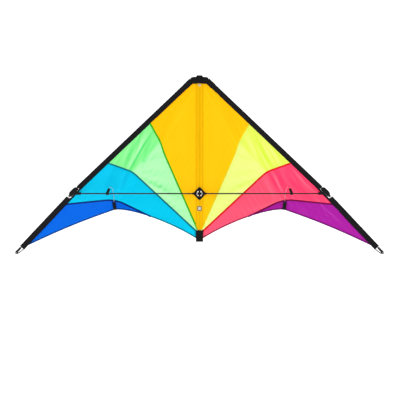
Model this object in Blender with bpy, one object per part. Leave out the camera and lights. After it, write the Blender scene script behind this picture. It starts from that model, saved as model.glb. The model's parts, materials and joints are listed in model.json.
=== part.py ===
"""Two-line delta stunt kite, upright, seen from the flyer's side along +Y.

Metres, +X to the kite's right as seen from the front, +Y away from the flyer, +Z up.
The origin is the middle of the centre tee's front face. The sail, the hems, the pockets
and the spine stand still. Each wing folds about the nose, each spreader about the centre
tee, each standoff about its spreader, and the tail flap about its lower edge.
"""

import math

import bmesh
import bpy
from mathutils import Matrix, Vector

SIDES = {"left": -1, "right": 1}

# Depths of the layers, from the tee's front face backwards.
SPREADER_Y = 0.0050
SAIL_Y = 0.0134
SPINE_Y = SAIL_Y + 0.0034

# Rods.
ROD_RADIUS = 0.0025
SPREADER_RADIUS = 0.0023
WHISKER_RADIUS = 0.0010
ROD_SIDES = 12
WALL_GAP = 0.0003

# Leading edge: a rod that runs straight from the nose, bows a little, and runs straight to the tip.
NOSE_PIVOT = Vector((0.018, 0.4136))
UPPER_HEADING = math.radians(46.45)
LOWER_HEADING = math.radians(43.2)
BOW_START = 0.540
BOW_END = 0.660
ROD_START = 0.002
ROD_END = 0.882

# Leading-edge sleeves: a flat tube, deeper in front of the rod's outer side than a bare rod.
SLEEVE_OUT = 0.0065
SLEEVE_IN_UPPER = 0.0135
SLEEVE_IN_LOWER = 0.0148
SLEEVE_HALF_DEPTH = 0.0036
SLEEVE_EDGE_HALF_DEPTH = 0.0007
SLEEVE_WALL = 0.00045
UPPER_SLEEVE = (0.0165, 0.5665)
LOWER_SLEEVE = (0.625, 0.860)
WIDENING = (0.575, 0.595)
NOSE_STRIP = (0.0165, 0.046)
NOSE_STRIP_GROWTH = 0.0008
BAND_IN = 0.0068
BAND_IN_OPEN = 0.0034

# Connector on the leading edge.
CONNECTOR_AT = 0.5908
CONNECTOR_HALF_LENGTH = 0.0195
CONNECTOR_BULGE = 0.0102
SOCKET_INNER_X = 0.420
SPREADER_END_X = 0.436
STOP_LENGTH = 0.004
STOP_RADIUS = 0.0042
CONNECTOR_HALF_DEPTH = 0.0044
CONNECTOR_WALL = 0.0018
CONNECTOR_INNER = (0.0045, 0.0062)
SOCKET_OUTLINE = (
    (0.420, -0.0045),
    (0.420, 0.0062),
    (0.426, 0.0048),
    (0.435, 0.0048),
    (0.444, 0.0120),
    (0.450, 0.0060),
    (0.446, -0.0030),
    (0.440, -0.0042),
)

# Tip.
NOCK = (0.8615, 0.890)
NOCK_RADIUS = 0.0042
NOCK_PROFILE = (
    (0.0, 0.75),
    (0.0030, 1.0),
    (0.0190, 1.0),
    (0.0200, 1.35),
    (0.0230, 1.35),
    (0.0245, 0.9),
    (0.0285, 0.8),
)
NOCK_SLOT_HALF_WIDTH = 0.0014
NOCK_SLOT_DEPTH = 0.0036
LOOP_RADIUS = 0.0009

# Sail: seams from the leading edge over the ridge to the tail, and the trailing edge.
SHEET = 0.0005
EDGE_GAP = 0.0003
RIDGE_ROUNDING = 0.2
RIDGE_ANGLE = math.radians(33.0)
RIDGE_RISE = 0.209
RIDGE_START = 0.090
RIDGE_EASE = 0.030
SPINE_FLAT = math.radians(3.0)
SEAM_AT_EDGE = (0.2274, 0.432, 0.640)
TIP_AT_EDGE = 0.841
PANEL_TIP_AT_EDGE = 0.825
SEAM_RIDGE = (Vector((0.139, 0.184)), Vector((0.237, 0.0765)), Vector((0.300, -0.0205)))
SEAM_END = (Vector((0.0068, -0.127)), Vector((0.0118, -0.1345)))
SEAM_CORNER = (0.014, 0.014, 0.040)
TRAIL_POCKET = Vector((0.3006, -0.0578))
TRAIL_CURVE = (Vector((0.235, -0.0535)), Vector((0.100, -0.1037)), Vector((0.0125, -0.1580)))
TRAIL_RISE = 0.0058
TRAIL_JOIN = 1.47
HEM_WIDTH = 0.0050
TIP_MITRE = 0.047
STRIP_HALF_WIDTH = 0.013
STRIP_TAPER = (-0.110, -0.128)
STRIP_END_HALF_WIDTH = 0.0055
OUTBOARD_STEPS = 5
INBOARD_STEPS = 9
ACROSS_STEPS = 6

# Centre fittings.
HOLE_RADIUS = 0.0107
PATCH_HALF_WIDTH = 0.023
PATCH_HALF_HEIGHT = 0.0244
TEE_HALF_WIDTH = 0.0080
TEE_HALF_HEIGHT = 0.0045
ARM_PIVOT_X = 0.013
ARM_RADIUS = 0.0042
ARM_END_X = 0.0255
ARM_END_HALF_HEIGHT = 0.0032
BARREL_RADIUS = 0.0040
BARREL_HALF_LENGTH = 0.0088
ARM_HALF_DEPTH = 0.0038
ARM_BORE_START = 0.0062
ROD_IN_ARM = 0.0065
SPINE_TOP = 0.409
SPINE_BOTTOM = -0.166
TAIL_TOP = -0.1296
TAIL_BOTTOM = -0.1706
TAIL_HALF_WIDTH = 0.0128
TAIL_THICKNESS = 0.0012
TAIL_IN_FRONT = 0.0028
TAIL_BEHIND_SPINE = 0.0042
CAP_WALL_RADIUS = 0.0036
CAP_LENGTH = 0.014

# Nose: half of the webbing's outline, half of the room inside it, and the tab over its middle.
NOSE_OUTLINE = (
    (0.0, 0.4170),
    (0.0100, 0.4170),
    (0.0120, 0.4135),
    (0.0280, 0.4120),
    (0.0330, 0.4070),
    (0.0235, 0.3880),
    (0.0, 0.3905),
)
NOSE_ROOM = ((0.0110, 0.4150), (0.0135, 0.4110), (0.0135, 0.4300), (0.0500, 0.4300), (0.0500, 0.3800))
NOSE_FRONT = SAIL_Y - 0.0060
NOSE_BACK = SAIL_Y + 0.0082
WEBBING_THICKNESS = 0.0011
TAB_HALF_WIDTH = 0.0098
TAB_BOTTOM = 0.3915
TAB_TOP = 0.4174
TAB_CROWN = 0.0014
EYELET_AT = 0.3840
EYELET_RADII = (0.0043, 0.0018)

# Badge: a small square with round corners.
BADGE_HALF_WIDTH = 0.0080
BADGE_CORNER = 0.0022
BADGE_AT = -0.053

# Standoffs: (x, z, distance in front of the sail) from the clip to the pocket.
CLIP_X = 0.3245
WHISKER_ROUTE = (
    (0.3222, 0.0150, 0.0500),
    (0.3206, 0.0185, 0.0455),
    (0.3172, 0.0222, 0.0385),
    (0.3128, 0.0230, 0.0290),
    (0.3084, 0.0170, 0.0200),
    (0.3052, 0.0070, 0.0135),
    (0.3032, -0.0060, 0.0090),
    (0.3023, -0.0210, 0.0058),
    (0.3020, -0.0365, 0.0043),
    (0.3020, -0.0500, 0.0043),
)
POCKET_X = 0.3020
POCKET_TOP = -0.0340
POCKET_BOTTOM = -0.0590
POCKET_HALF_WIDTH = 0.0050
POCKET_HALF_DEPTH = 0.0027
POCKET_WALL = 0.0005
POCKET_OFF_SAIL = 0.0013
CAP_RADIUS = 0.0017
CAP_ABOVE_END = 0.0090
CAP_BELOW_END = 0.0022
CLIP_SECTIONS = ((0.0, 0.0034), (0.0012, 0.0046), (0.0035, 0.0055), (0.0085, 0.0053))
CLIP_FOOT = 0.0052
CLIP_NECK_RADIUS = 0.0052
CLIP_TOP_RADIUS = 0.0046

BLACK = (0.020, 0.020, 0.024)


def clear_scene():
    for old in list(bpy.data.objects):
        bpy.data.objects.remove(old, do_unlink=True)


def material(name, colour, roughness, metallic=0.0):
    made = bpy.data.materials.new(name)
    made.use_nodes = True
    shader = made.node_tree.nodes["Principled BSDF"]
    shader.inputs["Base Color"].default_value = (*colour, 1.0)
    shader.inputs["Roughness"].default_value = roughness
    shader.inputs["Metallic"].default_value = metallic
    made.diffuse_color = (*colour, 1.0)
    return made


def axis_empty(name, place, parent=None):
    """An empty on a joint's axis; what moves with the joint is parented to it."""
    empty = bpy.data.objects.new(name, None)
    empty.empty_display_size = 0.02
    bpy.context.scene.collection.objects.link(empty)
    empty.location = place
    if parent is not None:
        empty.parent = parent
        empty.location = Vector(place) - world_place(parent)
    return empty


def world_place(item):
    place = item.location.copy()
    while item.parent is not None:
        item = item.parent
        place += item.location
    return place


def finish(name, bm, colour, roughness, parent=None, smooth=False):
    """Turns a bmesh in world coordinates into the named object, under its joint's empty."""
    bmesh.ops.remove_doubles(bm, verts=bm.verts, dist=1e-6)
    bmesh.ops.recalc_face_normals(bm, faces=bm.faces)
    if parent is not None:
        bmesh.ops.translate(bm, verts=bm.verts, vec=-world_place(parent))
    mesh = bpy.data.meshes.new(name)
    bm.to_mesh(mesh)
    bm.free()
    for face in mesh.polygons:
        face.use_smooth = smooth
    made = bpy.data.objects.new(name, mesh)
    bpy.context.scene.collection.objects.link(made)
    made.data.materials.append(material(name, colour, roughness))
    if parent is not None:
        made.parent = parent
    return made


def loft(rings, bm=None):
    """A closed solid through rings of points, with flat ends."""
    bm = bm or bmesh.new()
    loops = [[bm.verts.new(point) for point in ring] for ring in rings]
    count = len(loops[0])
    for first, second in zip(loops, loops[1:]):
        for i in range(count):
            j = (i + 1) % count
            bm.faces.new((first[i], first[j], second[j], second[i]))
    bm.faces.new(loops[0])
    bm.faces.new(loops[-1])
    return bm


def loft_hollow(outer, inner):
    """A closed wall between two lofts with the same ring count, open at both ends."""
    bm = bmesh.new()
    walls = []
    for rings in (outer, inner):
        loops = [[bm.verts.new(point) for point in ring] for ring in rings]
        count = len(loops[0])
        for first, second in zip(loops, loops[1:]):
            for i in range(count):
                j = (i + 1) % count
                bm.faces.new((first[i], first[j], second[j], second[i]))
        walls.append(loops)
    for end in (0, -1):
        outside = walls[0][end]
        inside = walls[1][end]
        for i in range(len(outside)):
            j = (i + 1) % len(outside)
            bm.faces.new((outside[i], outside[j], inside[j], inside[i]))
    return bm


def prism(outline, front, back, bm=None):
    """A flat plate: an outline in X and Z, between two depths."""
    rings = [[Vector((x, depth, z)) for x, z in outline] for depth in (front, back)]
    return loft(rings, bm)


def shell(front, back):
    """A closed thin shell between two grids of points of the same size."""
    bm = bmesh.new()
    skins = [[[bm.verts.new(point) for point in row] for row in grid] for grid in (front, back)]
    rows = len(front)
    columns = len(front[0])
    for skin in skins:
        for i in range(rows - 1):
            for j in range(columns - 1):
                corners = (skin[i][j], skin[i + 1][j], skin[i + 1][j + 1], skin[i][j + 1])
                bm.faces.new(corners)
    rim = [(i, 0) for i in range(rows)] + [(rows - 1, j) for j in range(1, columns)]
    rim += [(i, columns - 1) for i in range(rows - 2, -1, -1)]
    rim += [(0, j) for j in range(columns - 2, 0, -1)]
    for (i, j), (k, m) in zip(rim, rim[1:] + rim[:1]):
        bm.faces.new((skins[0][i][j], skins[0][k][m], skins[1][k][m], skins[1][i][j]))
    return bm


def ring_round(centre, direction, radius, sides=ROD_SIDES, stretch=1.0):
    """A ring of points round a centre, square to a direction."""
    direction = direction.normalized()
    side = direction.cross(Vector((0, 1, 0)))
    if side.length < 0.1:
        side = direction.cross(Vector((0, 0, 1)))
    side.normalize()
    up = side.cross(direction)
    points = []
    for i in range(sides):
        turn = 2 * math.pi * i / sides
        points.append(centre + side * radius * stretch * math.cos(turn) + up * radius * math.sin(turn))
    return points


def oval(middle, half_width, half_depth, sides=16):
    """A level oval ring of points round a middle."""
    points = []
    for i in range(sides):
        turn = 2 * math.pi * i / sides
        points.append(middle + Vector((half_width * math.cos(turn), half_depth * math.sin(turn), 0)))
    return points


def tube_along(points, radius, sides=ROD_SIDES):
    rings = []
    for i, point in enumerate(points):
        ahead = points[min(i + 1, len(points) - 1)]
        behind = points[max(i - 1, 0)]
        rings.append(ring_round(point, ahead - behind, radius, sides))
    return loft(rings)


def cylinder(start, end, radius, sides=24):
    direction = end - start
    return loft([ring_round(start, direction, radius, sides), ring_round(end, direction, radius, sides)])


def smooth_route(points, steps):
    """A Catmull-Rom curve through the points."""
    ends = [points[0] * 2 - points[1], *points, points[-1] * 2 - points[-2]]
    route = []
    for a, b, c, d in zip(ends, ends[1:], ends[2:], ends[3:]):
        for i in range(steps):
            t = i / steps
            bend = 2 * a - 5 * b + 4 * c - d
            twist = 3 * b - a - 3 * c + d
            route.append(0.5 * (2 * b + (c - a) * t + bend * t**2 + twist * t**3))
    return [*route, points[-1].copy()]


def combine(target, tool_mesh, operation, name):
    """Joins or cuts a closed bmesh with an object's mesh and removes the tool."""
    mesh = bpy.data.meshes.new(name)
    bmesh.ops.recalc_face_normals(tool_mesh, faces=tool_mesh.faces)
    tool_mesh.to_mesh(mesh)
    tool_mesh.free()
    tool = bpy.data.objects.new(name, mesh)
    bpy.context.scene.collection.objects.link(tool)
    bpy.context.view_layer.update()
    boolean = target.modifiers.new(name, "BOOLEAN")
    boolean.operation = operation
    boolean.solver = "EXACT"
    boolean.object = tool
    bpy.context.view_layer.update()
    graph = bpy.context.evaluated_depsgraph_get()
    made = bpy.data.meshes.new_from_object(target.evaluated_get(graph))
    target.modifiers.remove(boolean)
    made.name = target.name
    target.data = made
    bpy.data.objects.remove(tool, do_unlink=True)


def cut(target, tool_mesh, name):
    combine(target, tool_mesh, "DIFFERENCE", name)


def join(target, tool_mesh, name):
    combine(target, tool_mesh, "UNION", name)


def cut_hole(target):
    """The round hole in the sail's layers behind the centre tee."""
    start = Vector((0, SAIL_Y - 0.02, 0))
    end = Vector((0, SAIL_Y + 0.03, 0))
    cut(target, cylinder(start, end, HOLE_RADIUS, 32), "hole")


# The leading edge.


def rod_point(along):
    """Place and heading of the leading-edge rod, in X and Z, at a length from the nose pivot."""
    bow = (UPPER_HEADING - LOWER_HEADING) / (BOW_END - BOW_START)
    upper = Vector((math.sin(UPPER_HEADING), -math.cos(UPPER_HEADING)))
    start = NOSE_PIVOT + upper * min(along, BOW_START)
    if along <= BOW_START:
        return start, UPPER_HEADING
    turned = bow * (min(along, BOW_END) - BOW_START)
    heading = UPPER_HEADING - turned
    arc = Vector(
        (
            (math.cos(heading) - math.cos(UPPER_HEADING)) / bow,
            -(math.sin(UPPER_HEADING) - math.sin(heading)) / bow,
        )
    )
    straight = Vector((math.sin(heading), -math.cos(heading))) * max(along - BOW_END, 0.0)
    return start + arc + straight, heading


def beside_rod(along, inwards, depth=0.0, side=1):
    """A point beside the rod: inwards towards the sail, and depth behind the rod's plane."""
    place, heading = rod_point(along)
    inward = Vector((-math.cos(heading), -math.sin(heading)))
    point = place + inward * inwards
    return Vector((side * point.x, SAIL_Y + depth, point.y))


def flat(point):
    return Vector((point.x, point.z))


def rod_direction(along, side):
    heading = rod_point(along)[1]
    return Vector((side * math.sin(heading), 0, -math.cos(heading)))


def stations(start, end, step):
    count = max(1, round((end - start) / step))
    return [start + (end - start) * i / count for i in range(count + 1)]


def sleeve_ring(along, side, inwards, shrink):
    """The sleeve's flattened section: round outside the rod, tapering to the sewn edge."""
    ring = []
    round_steps = 6
    deep = SLEEVE_HALF_DEPTH - shrink
    out = SLEEVE_OUT - shrink
    edge = SLEEVE_EDGE_HALF_DEPTH - shrink * 0.6
    for i in range(round_steps + 1):
        turn = math.pi * (i / round_steps - 0.5)
        ring.append(beside_rod(along, -out * math.cos(turn), deep * math.sin(turn), side))
    ring.append(beside_rod(along, inwards * 0.45, deep * 0.85, side))
    ring.append(beside_rod(along, inwards - shrink, edge, side))
    ring.append(beside_rod(along, inwards - shrink, -edge, side))
    ring.append(beside_rod(along, inwards * 0.45, -deep * 0.85, side))
    return ring


def sleeve(name, span, inwards, side, parent, grow=0.0, wall=SLEEVE_WALL, colour=BLACK):
    places = stations(*span, 0.06)
    outer = [sleeve_ring(s, side, inwards, -grow) for s in places]
    inner = [sleeve_ring(s, side, inwards, wall - grow) for s in places]
    return finish(name, loft_hollow(outer, inner), colour, 0.75, parent, smooth=True)


def make_wing(word, side):
    pivot = axis_empty(f"wing_{word}_axis", Vector((side * NOSE_PIVOT.x, SAIL_Y, NOSE_PIVOT.y)))
    rod = [beside_rod(s, 0.0, 0.0, side) for s in stations(ROD_START, ROD_END, 0.04)]
    finish(f"edge_rod_{word}", tube_along(rod, ROD_RADIUS), (0.62, 0.63, 0.62), 0.35, pivot, True)
    sleeve(f"sleeve_upper_{word}", UPPER_SLEEVE, SLEEVE_IN_UPPER, side, pivot)
    sleeve(f"sleeve_lower_{word}", LOWER_SLEEVE, SLEEVE_IN_LOWER, side, pivot)
    make_nose_strip(word, side, pivot)
    make_band(word, side, pivot)
    make_connector(word, side, pivot)
    make_stops(word, side, pivot)
    make_nock(word, side, pivot)
    make_tip_loop(word, side, pivot)


def make_nose_strip(word, side, pivot):
    """Webbing bound round the sleeve's upper end, just clear of the sleeve."""
    sleeve(
        f"nose_strip_{word}",
        NOSE_STRIP,
        SLEEVE_IN_UPPER,
        side,
        pivot,
        grow=NOSE_STRIP_GROWTH,
        wall=0.0005,
        colour=(0.016, 0.016, 0.018),
    )


def make_band(word, side, pivot):
    """The sleeve's inner edge, which runs on past the cut-out at the connector."""
    start = UPPER_SLEEVE[1] + WALL_GAP
    end = LOWER_SLEEVE[0] - WALL_GAP
    past_stop = CONNECTOR_AT + CONNECTOR_HALF_LENGTH + WALL_GAP + STOP_LENGTH + 0.0006
    places = [(start, BAND_IN), (CONNECTOR_AT, BAND_IN), (past_stop, BAND_IN)]
    places += [(past_stop + 0.0014, BAND_IN_OPEN), (end, BAND_IN_OPEN)]
    rings = []
    for s, near in places:
        corners = ((near, -0.0008), (SLEEVE_IN_UPPER, -0.0008), (SLEEVE_IN_UPPER, 0.0008), (near, 0.0008))
        rings.append([beside_rod(s, inwards, depth, side) for inwards, depth in corners])
    finish(f"sleeve_band_{word}", loft(rings), BLACK, 0.8, pivot)


def make_connector(word, side, pivot):
    """Moulded fitting round the rod, with a socket for the spreader that is open below."""
    rings = []
    steps = 8
    least = ROD_RADIUS + CONNECTOR_WALL
    deep = CONNECTOR_HALF_DEPTH
    for i in range(steps + 1):
        t = -1 + 2 * i / steps
        s = CONNECTOR_AT + CONNECTOR_HALF_LENGTH * t
        swell = math.sqrt(max(0.0, 1 - abs(t) ** 2.6))
        out = least + (CONNECTOR_BULGE - least) * swell
        shoulder, edge = CONNECTOR_INNER
        corners = ((-out, -deep * 0.45), (-out * 0.8, -deep), (shoulder, -deep), (edge, -deep * 0.5))
        corners += tuple((inwards, -depth) for inwards, depth in reversed(corners))
        rings.append([beside_rod(s, inwards, depth, side) for inwards, depth in corners])
    body = finish(f"connector_{word}", loft(rings), (0.012, 0.012, 0.014), 0.45, pivot)
    join_socket(body, side)
    bore_start = beside_rod(CONNECTOR_AT - 0.03, 0, 0, side)
    bore_end = beside_rod(CONNECTOR_AT + 0.03, 0, 0, side)
    cut(body, cylinder(bore_start, bore_end, ROD_RADIUS + 0.0004), "rod_bore")


def join_socket(body, side):
    """Adds the spreader's socket: a roof, a front wall and a back wall, open below and outside."""
    outline = [(side * x, z) for x, z in SOCKET_OUTLINE]
    join(body, prism(outline, SPREADER_Y - CONNECTOR_HALF_DEPTH, SAIL_Y - 0.0020), "socket")
    half = SPREADER_RADIUS + 0.0004
    inner = SOCKET_INNER_X - 0.01
    channel = ((inner, half), (0.480, half), (0.480, -0.04), (inner, -0.04))
    cut(body, prism([(side * x, z) for x, z in channel], SPREADER_Y - half, SPREADER_Y + half), "channel")


def make_stops(word, side, pivot):
    """Two small rings on the bare rod, one each end of the connector."""
    ends = {
        "upper": CONNECTOR_AT - CONNECTOR_HALF_LENGTH - WALL_GAP - STOP_LENGTH,
        "lower": CONNECTOR_AT + CONNECTOR_HALF_LENGTH + WALL_GAP,
    }
    for place, start in ends.items():
        rings = []
        for radius in (STOP_RADIUS, ROD_RADIUS + 0.0003):
            rings.append(
                [
                    ring_round(beside_rod(s, 0, 0, side), rod_direction(s, side), radius, 16)
                    for s in (start, start + STOP_LENGTH)
                ]
            )
        bm = loft_hollow(rings[0], rings[1])
        finish(f"stop_{place}_{word}", bm, (0.03, 0.03, 0.032), 0.6, pivot, True)


def make_nock(word, side, pivot):
    """Cap on the rod's end, with a hooked flange and a slot across its end for the loop."""
    start, end = NOCK
    rings = []
    for ahead, size in NOCK_PROFILE:
        s = start + ahead
        rings.append(ring_round(beside_rod(s, 0, 0, side), rod_direction(s, side), NOCK_RADIUS * size, 16))
    nock = finish(f"nock_{word}", loft(rings), (0.014, 0.014, 0.016), 0.4, pivot)
    bore_start = beside_rod(start - 0.01, 0, 0, side)
    bore_end = beside_rod(ROD_END + 0.0005, 0, 0, side)
    cut(nock, cylinder(bore_start, bore_end, ROD_RADIUS + WALL_GAP), "nock_bore")
    half = NOCK_SLOT_HALF_WIDTH
    corners = ((-half, -0.02), (half, -0.02), (half, 0.02), (-half, 0.02))
    rings = []
    for s in (end - NOCK_SLOT_DEPTH, end + 0.01):
        rings.append([beside_rod(s, inwards, depth, side) for inwards, depth in corners])
    cut(nock, loft(rings), "nock_slot")


def make_tip_loop(word, side, pivot):
    """Elastic loop from the sleeve's end, over the slot in the nock and back."""
    half = (
        (LOWER_SLEEVE[1] + 0.0012, 0.0085, 0.0016),
        (LOWER_SLEEVE[1] + 0.0080, 0.0072, 0.0045),
        (NOCK[0] + 0.0120, 0.0045, 0.0065),
        (NOCK[0] + 0.0205, 0.0018, 0.0076),
        (NOCK[0] + 0.0236, 0.0006, 0.0073),
        (NOCK[1] - 0.0020, 0.0, 0.0052),
        (NOCK[1] - 0.0010, 0.0, 0.0026),
    )
    near = [beside_rod(s, inwards, -depth, side) for s, inwards, depth in half]
    far = [beside_rod(s, inwards, depth, side) for s, inwards, depth in reversed(half)]
    middle = [beside_rod(NOCK[1] - 0.0006, 0.0, 0.0, side)]
    route = smooth_route(near + middle + far, 3)
    finish(f"tip_loop_{word}", tube_along(route, LOOP_RADIUS, 8), (0.01, 0.01, 0.012), 0.9, pivot, True)


# The sail.


def edge_inset(along):
    """How far inside the rod the sail meets the sleeve, or the nose strip round it."""
    if along < NOSE_STRIP[1]:
        return SLEEVE_IN_UPPER + NOSE_STRIP_GROWTH + 2 * WALL_GAP
    t = min(max((along - WIDENING[0]) / (WIDENING[1] - WIDENING[0]), 0.0), 1.0)
    return SLEEVE_IN_UPPER + (SLEEVE_IN_LOWER - SLEEVE_IN_UPPER) * t + WALL_GAP


def edge_point(along):
    return flat(beside_rod(along, edge_inset(along)))


# Where the two leading edges of the cloth would meet above the nose.
SAIL_TOP = NOSE_PIVOT.y + NOSE_PIVOT.x / math.tan(UPPER_HEADING)
SAIL_TOP -= (SLEEVE_IN_UPPER + WALL_GAP) / math.sin(UPPER_HEADING)


def sail_depth(x, z):
    """How far the sail lies behind the leading edge: a rounded ridge that runs down from the nose."""
    down = max(SAIL_TOP - z, 1e-6)
    reach = math.hypot(x, down)
    angle = math.atan2(abs(x), down)
    edge = UPPER_HEADING - math.radians(1.2) * min(max((reach - 0.600) / 0.250, 0.0), 1.0)
    to_ridge = math.hypot(RIDGE_ANGLE, SPINE_FLAT) - SPINE_FLAT
    inner = (math.hypot(angle, SPINE_FLAT) - SPINE_FLAT) / to_ridge
    outer = (edge - angle) / (edge - RIDGE_ANGLE)
    tent = 0.5 * (inner + outer - math.hypot(inner - outer, RIDGE_ROUNDING))
    past = reach - RIDGE_START
    run = 0.5 * (past + math.hypot(past, RIDGE_EASE))
    return max(0.0, run * RIDGE_RISE * tent)


def trail_point(t, inset):
    """The trailing edge, moved up by inset: t from 0 at the tip to 1 at the pocket and 2 at the tail."""
    if t <= 1:
        tip = edge_point(TIP_AT_EDGE)
        along = TRAIL_POCKET - tip
        place = tip.lerp(TRAIL_POCKET, t) + Vector((0, TRAIL_RISE * math.sin(math.pi * t)))
    else:
        a, b, c, d = (TRAIL_POCKET, *TRAIL_CURVE)
        u = t - 1
        place = a * (1 - u) ** 3 + b * 3 * u * (1 - u) ** 2 + c * 3 * u * u * (1 - u) + d * u**3
        along = (b - a) * (1 - u) ** 2 + (c - b) * 2 * u * (1 - u) + (d - c) * u * u
    at_pocket_or_tail = min(abs(t - 1), abs(t - 2)) < 1e-6
    if at_pocket_or_tail:
        along = Vector((-1, 0.1))
    along.normalize()
    upwards = Vector((along.y, -along.x))
    return place + upwards * inset


def rounded_corner(start, corner, end, cut_back, count=9):
    """Start to end by way of a corner rounded off by a quadratic curve."""
    first = corner + (start - corner).normalized() * cut_back
    last = corner + (end - corner).normalized() * cut_back
    points = [start]
    for i in range(count):
        t = i / (count - 1)
        points.append(first * (1 - t) ** 2 + corner * 2 * t * (1 - t) + last * t * t)
    return points + [end]


def resample(points, count):
    lengths = [0.0]
    for a, b in zip(points, points[1:]):
        lengths.append(lengths[-1] + (b - a).length)
    found = []
    for i in range(count + 1):
        wanted = lengths[-1] * i / count
        k = 0
        while k < len(points) - 2 and lengths[k + 1] < wanted:
            k += 1
        span = lengths[k + 1] - lengths[k]
        found.append(points[k].lerp(points[k + 1], (wanted - lengths[k]) / span))
    return found


def seam(number):
    """Points of a seam from the leading edge to its lower end, with as many on each side of the ridge."""
    start = edge_point(SEAM_AT_EDGE[number])
    corner = SEAM_RIDGE[number]
    end = SEAM_END[number] if number < 2 else trail_point(TRAIL_JOIN, HEM_WIDTH + EDGE_GAP + 0.0018)
    path = rounded_corner(start, corner, end, SEAM_CORNER[number])
    middle = len(path) // 2
    return resample(path[: middle + 1], OUTBOARD_STEPS) + resample(path[middle:], INBOARD_STEPS)[1:]


def centre_line():
    top = Vector((0.00015, SAIL_TOP - 0.0013))
    bottom = Vector((0.00015, SEAM_END[0].y))
    steps = OUTBOARD_STEPS + INBOARD_STEPS
    return [top.lerp(bottom, i / steps) for i in range(steps + 1)]


def trailing_line(inset):
    """The trailing edge's outer stretch, from the tip to where the lowest seam meets it."""
    outboard = [trail_point(i / OUTBOARD_STEPS, inset) for i in range(OUTBOARD_STEPS + 1)]
    outboard[0] = trail_point(TIP_MITRE, inset)
    step = (TRAIL_JOIN - 1) / INBOARD_STEPS
    return outboard + [trail_point(1 + step * i, inset) for i in range(1, INBOARD_STEPS + 1)]


def patch(upper, lower, outer, inner):
    """Coons patch between two lines along the sail and two across it."""
    rows = len(upper)
    columns = len(outer)
    grid = []
    for i in range(rows):
        u = i / (rows - 1)
        row = []
        for j in range(columns):
            v = j / (columns - 1)
            ruled = upper[i].lerp(lower[i], v) + outer[j].lerp(inner[j], u)
            corners = upper[0].lerp(lower[0], v).lerp(upper[-1].lerp(lower[-1], v), u)
            row.append(ruled - corners)
        grid.append(row)
    return grid


def pull_in(grid, gap):
    """Draws the grid's border in a little, so that neighbouring panels stay apart."""
    rows = len(grid)
    columns = len(grid[0])
    moved = [row[:] for row in grid]
    for i in range(rows):
        for j in range(columns):
            shift = Vector((0, 0))
            if i in (0, rows - 1):
                shift += (grid[1 if i == 0 else rows - 2][j] - grid[i][j]).normalized() * gap
            if j in (0, columns - 1):
                shift += (grid[i][1 if j == 0 else columns - 2] - grid[i][j]).normalized() * gap
            moved[i][j] = grid[i][j] + shift
    return moved


def on_sail(point, side, in_front=0.0):
    return Vector((side * point.x, SAIL_Y + sail_depth(point.x, point.y) - in_front, point.y))


def panel_grids():
    seams = [seam(i) for i in range(3)]
    inset = HEM_WIDTH + EDGE_GAP
    marks = (0.0015, *SEAM_AT_EDGE, PANEL_TIP_AT_EDGE)
    lines = [centre_line(), *seams, trailing_line(inset)]
    grids = []
    for number in range(4):
        upper, lower = lines[number], lines[number + 1]
        start, end = marks[number], marks[number + 1]
        outer = [edge_point(start + (end - start) * j / ACROSS_STEPS) for j in range(ACROSS_STEPS + 1)]
        outer[0], outer[-1] = upper[0], lower[0]
        inner = [upper[-1].lerp(lower[-1], j / ACROSS_STEPS) for j in range(ACROSS_STEPS + 1)]
        if number == 2:
            step = (2 - TRAIL_JOIN) / (ACROSS_STEPS - 1)
            tail = [trail_point(2 - step * j, inset) for j in range(ACROSS_STEPS)]
            inner = [upper[-1], *tail[:-1], lower[-1]]
        grids.append(patch(upper, lower, outer, inner))
    return grids


PANEL_COLOURS = {
    "left": ((0.98, 0.62, 0.01), (0.28, 0.90, 0.36), (0.0, 0.58, 0.90), (0.0, 0.16, 0.76)),
    "right": ((0.98, 0.62, 0.01), (0.84, 0.95, 0.17), (0.98, 0.08, 0.20), (0.47, 0.02, 0.42)),
}


def make_panels(word, side):
    for number, grid in enumerate(panel_grids()):
        edged = pull_in(grid, 0.0002)
        front = [[on_sail(point, side) for point in row] for row in edged]
        back = [[point + Vector((0, SHEET, 0)) for point in row] for row in front]
        colour = PANEL_COLOURS[word][number]
        panel = finish(f"panel_{number + 1}_{word}", shell(front, back), colour, 0.5, smooth=True)
        if number == 0:
            cut_hole(panel)


def make_hem(word, side):
    """Folded hem along the trailing edge, from the tip to the tail."""
    join_step = (TRAIL_JOIN - 1) / INBOARD_STEPS
    tail_steps = ACROSS_STEPS - 1
    places = [i / OUTBOARD_STEPS for i in range(OUTBOARD_STEPS + 1)]
    places += [1 + join_step * i for i in range(1, INBOARD_STEPS + 1)]
    places += [TRAIL_JOIN + (2 - TRAIL_JOIN) * i / tail_steps for i in range(1, tail_steps + 1)]
    rows = [[trail_point(t, inset) for inset in (0.0, HEM_WIDTH * 0.5, HEM_WIDTH)] for t in places]
    rows[0] = [trail_point(0.004 + TIP_MITRE * 0.45 * i, HEM_WIDTH * 0.5 * i) for i in range(3)]
    front = [[on_sail(point, side, 0.0003) for point in row] for row in rows]
    back = [[point + Vector((0, 0.0011, 0)) for point in row] for row in front]
    colour = PANEL_COLOURS[word][3]
    finish(f"hem_{word}", shell(front, back), tuple(0.6 * c for c in colour), 0.6)


def make_pocket(word, side):
    """Flattened tube on the trailing edge, open above, that holds the whisker's end."""
    rings = [[], []]
    for z in (POCKET_TOP, POCKET_BOTTOM):
        surface = SAIL_Y + sail_depth(POCKET_X, z)
        middle = Vector((side * POCKET_X, surface - POCKET_OFF_SAIL - POCKET_HALF_DEPTH, z))
        for ring, shrink in zip(rings, (0.0, POCKET_WALL)):
            ring.append(oval(middle, POCKET_HALF_WIDTH - shrink, POCKET_HALF_DEPTH - shrink))
    pocket = loft_hollow(rings[0], rings[1])
    finish(f"pocket_{word}", pocket, BLACK, 0.85)


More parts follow.
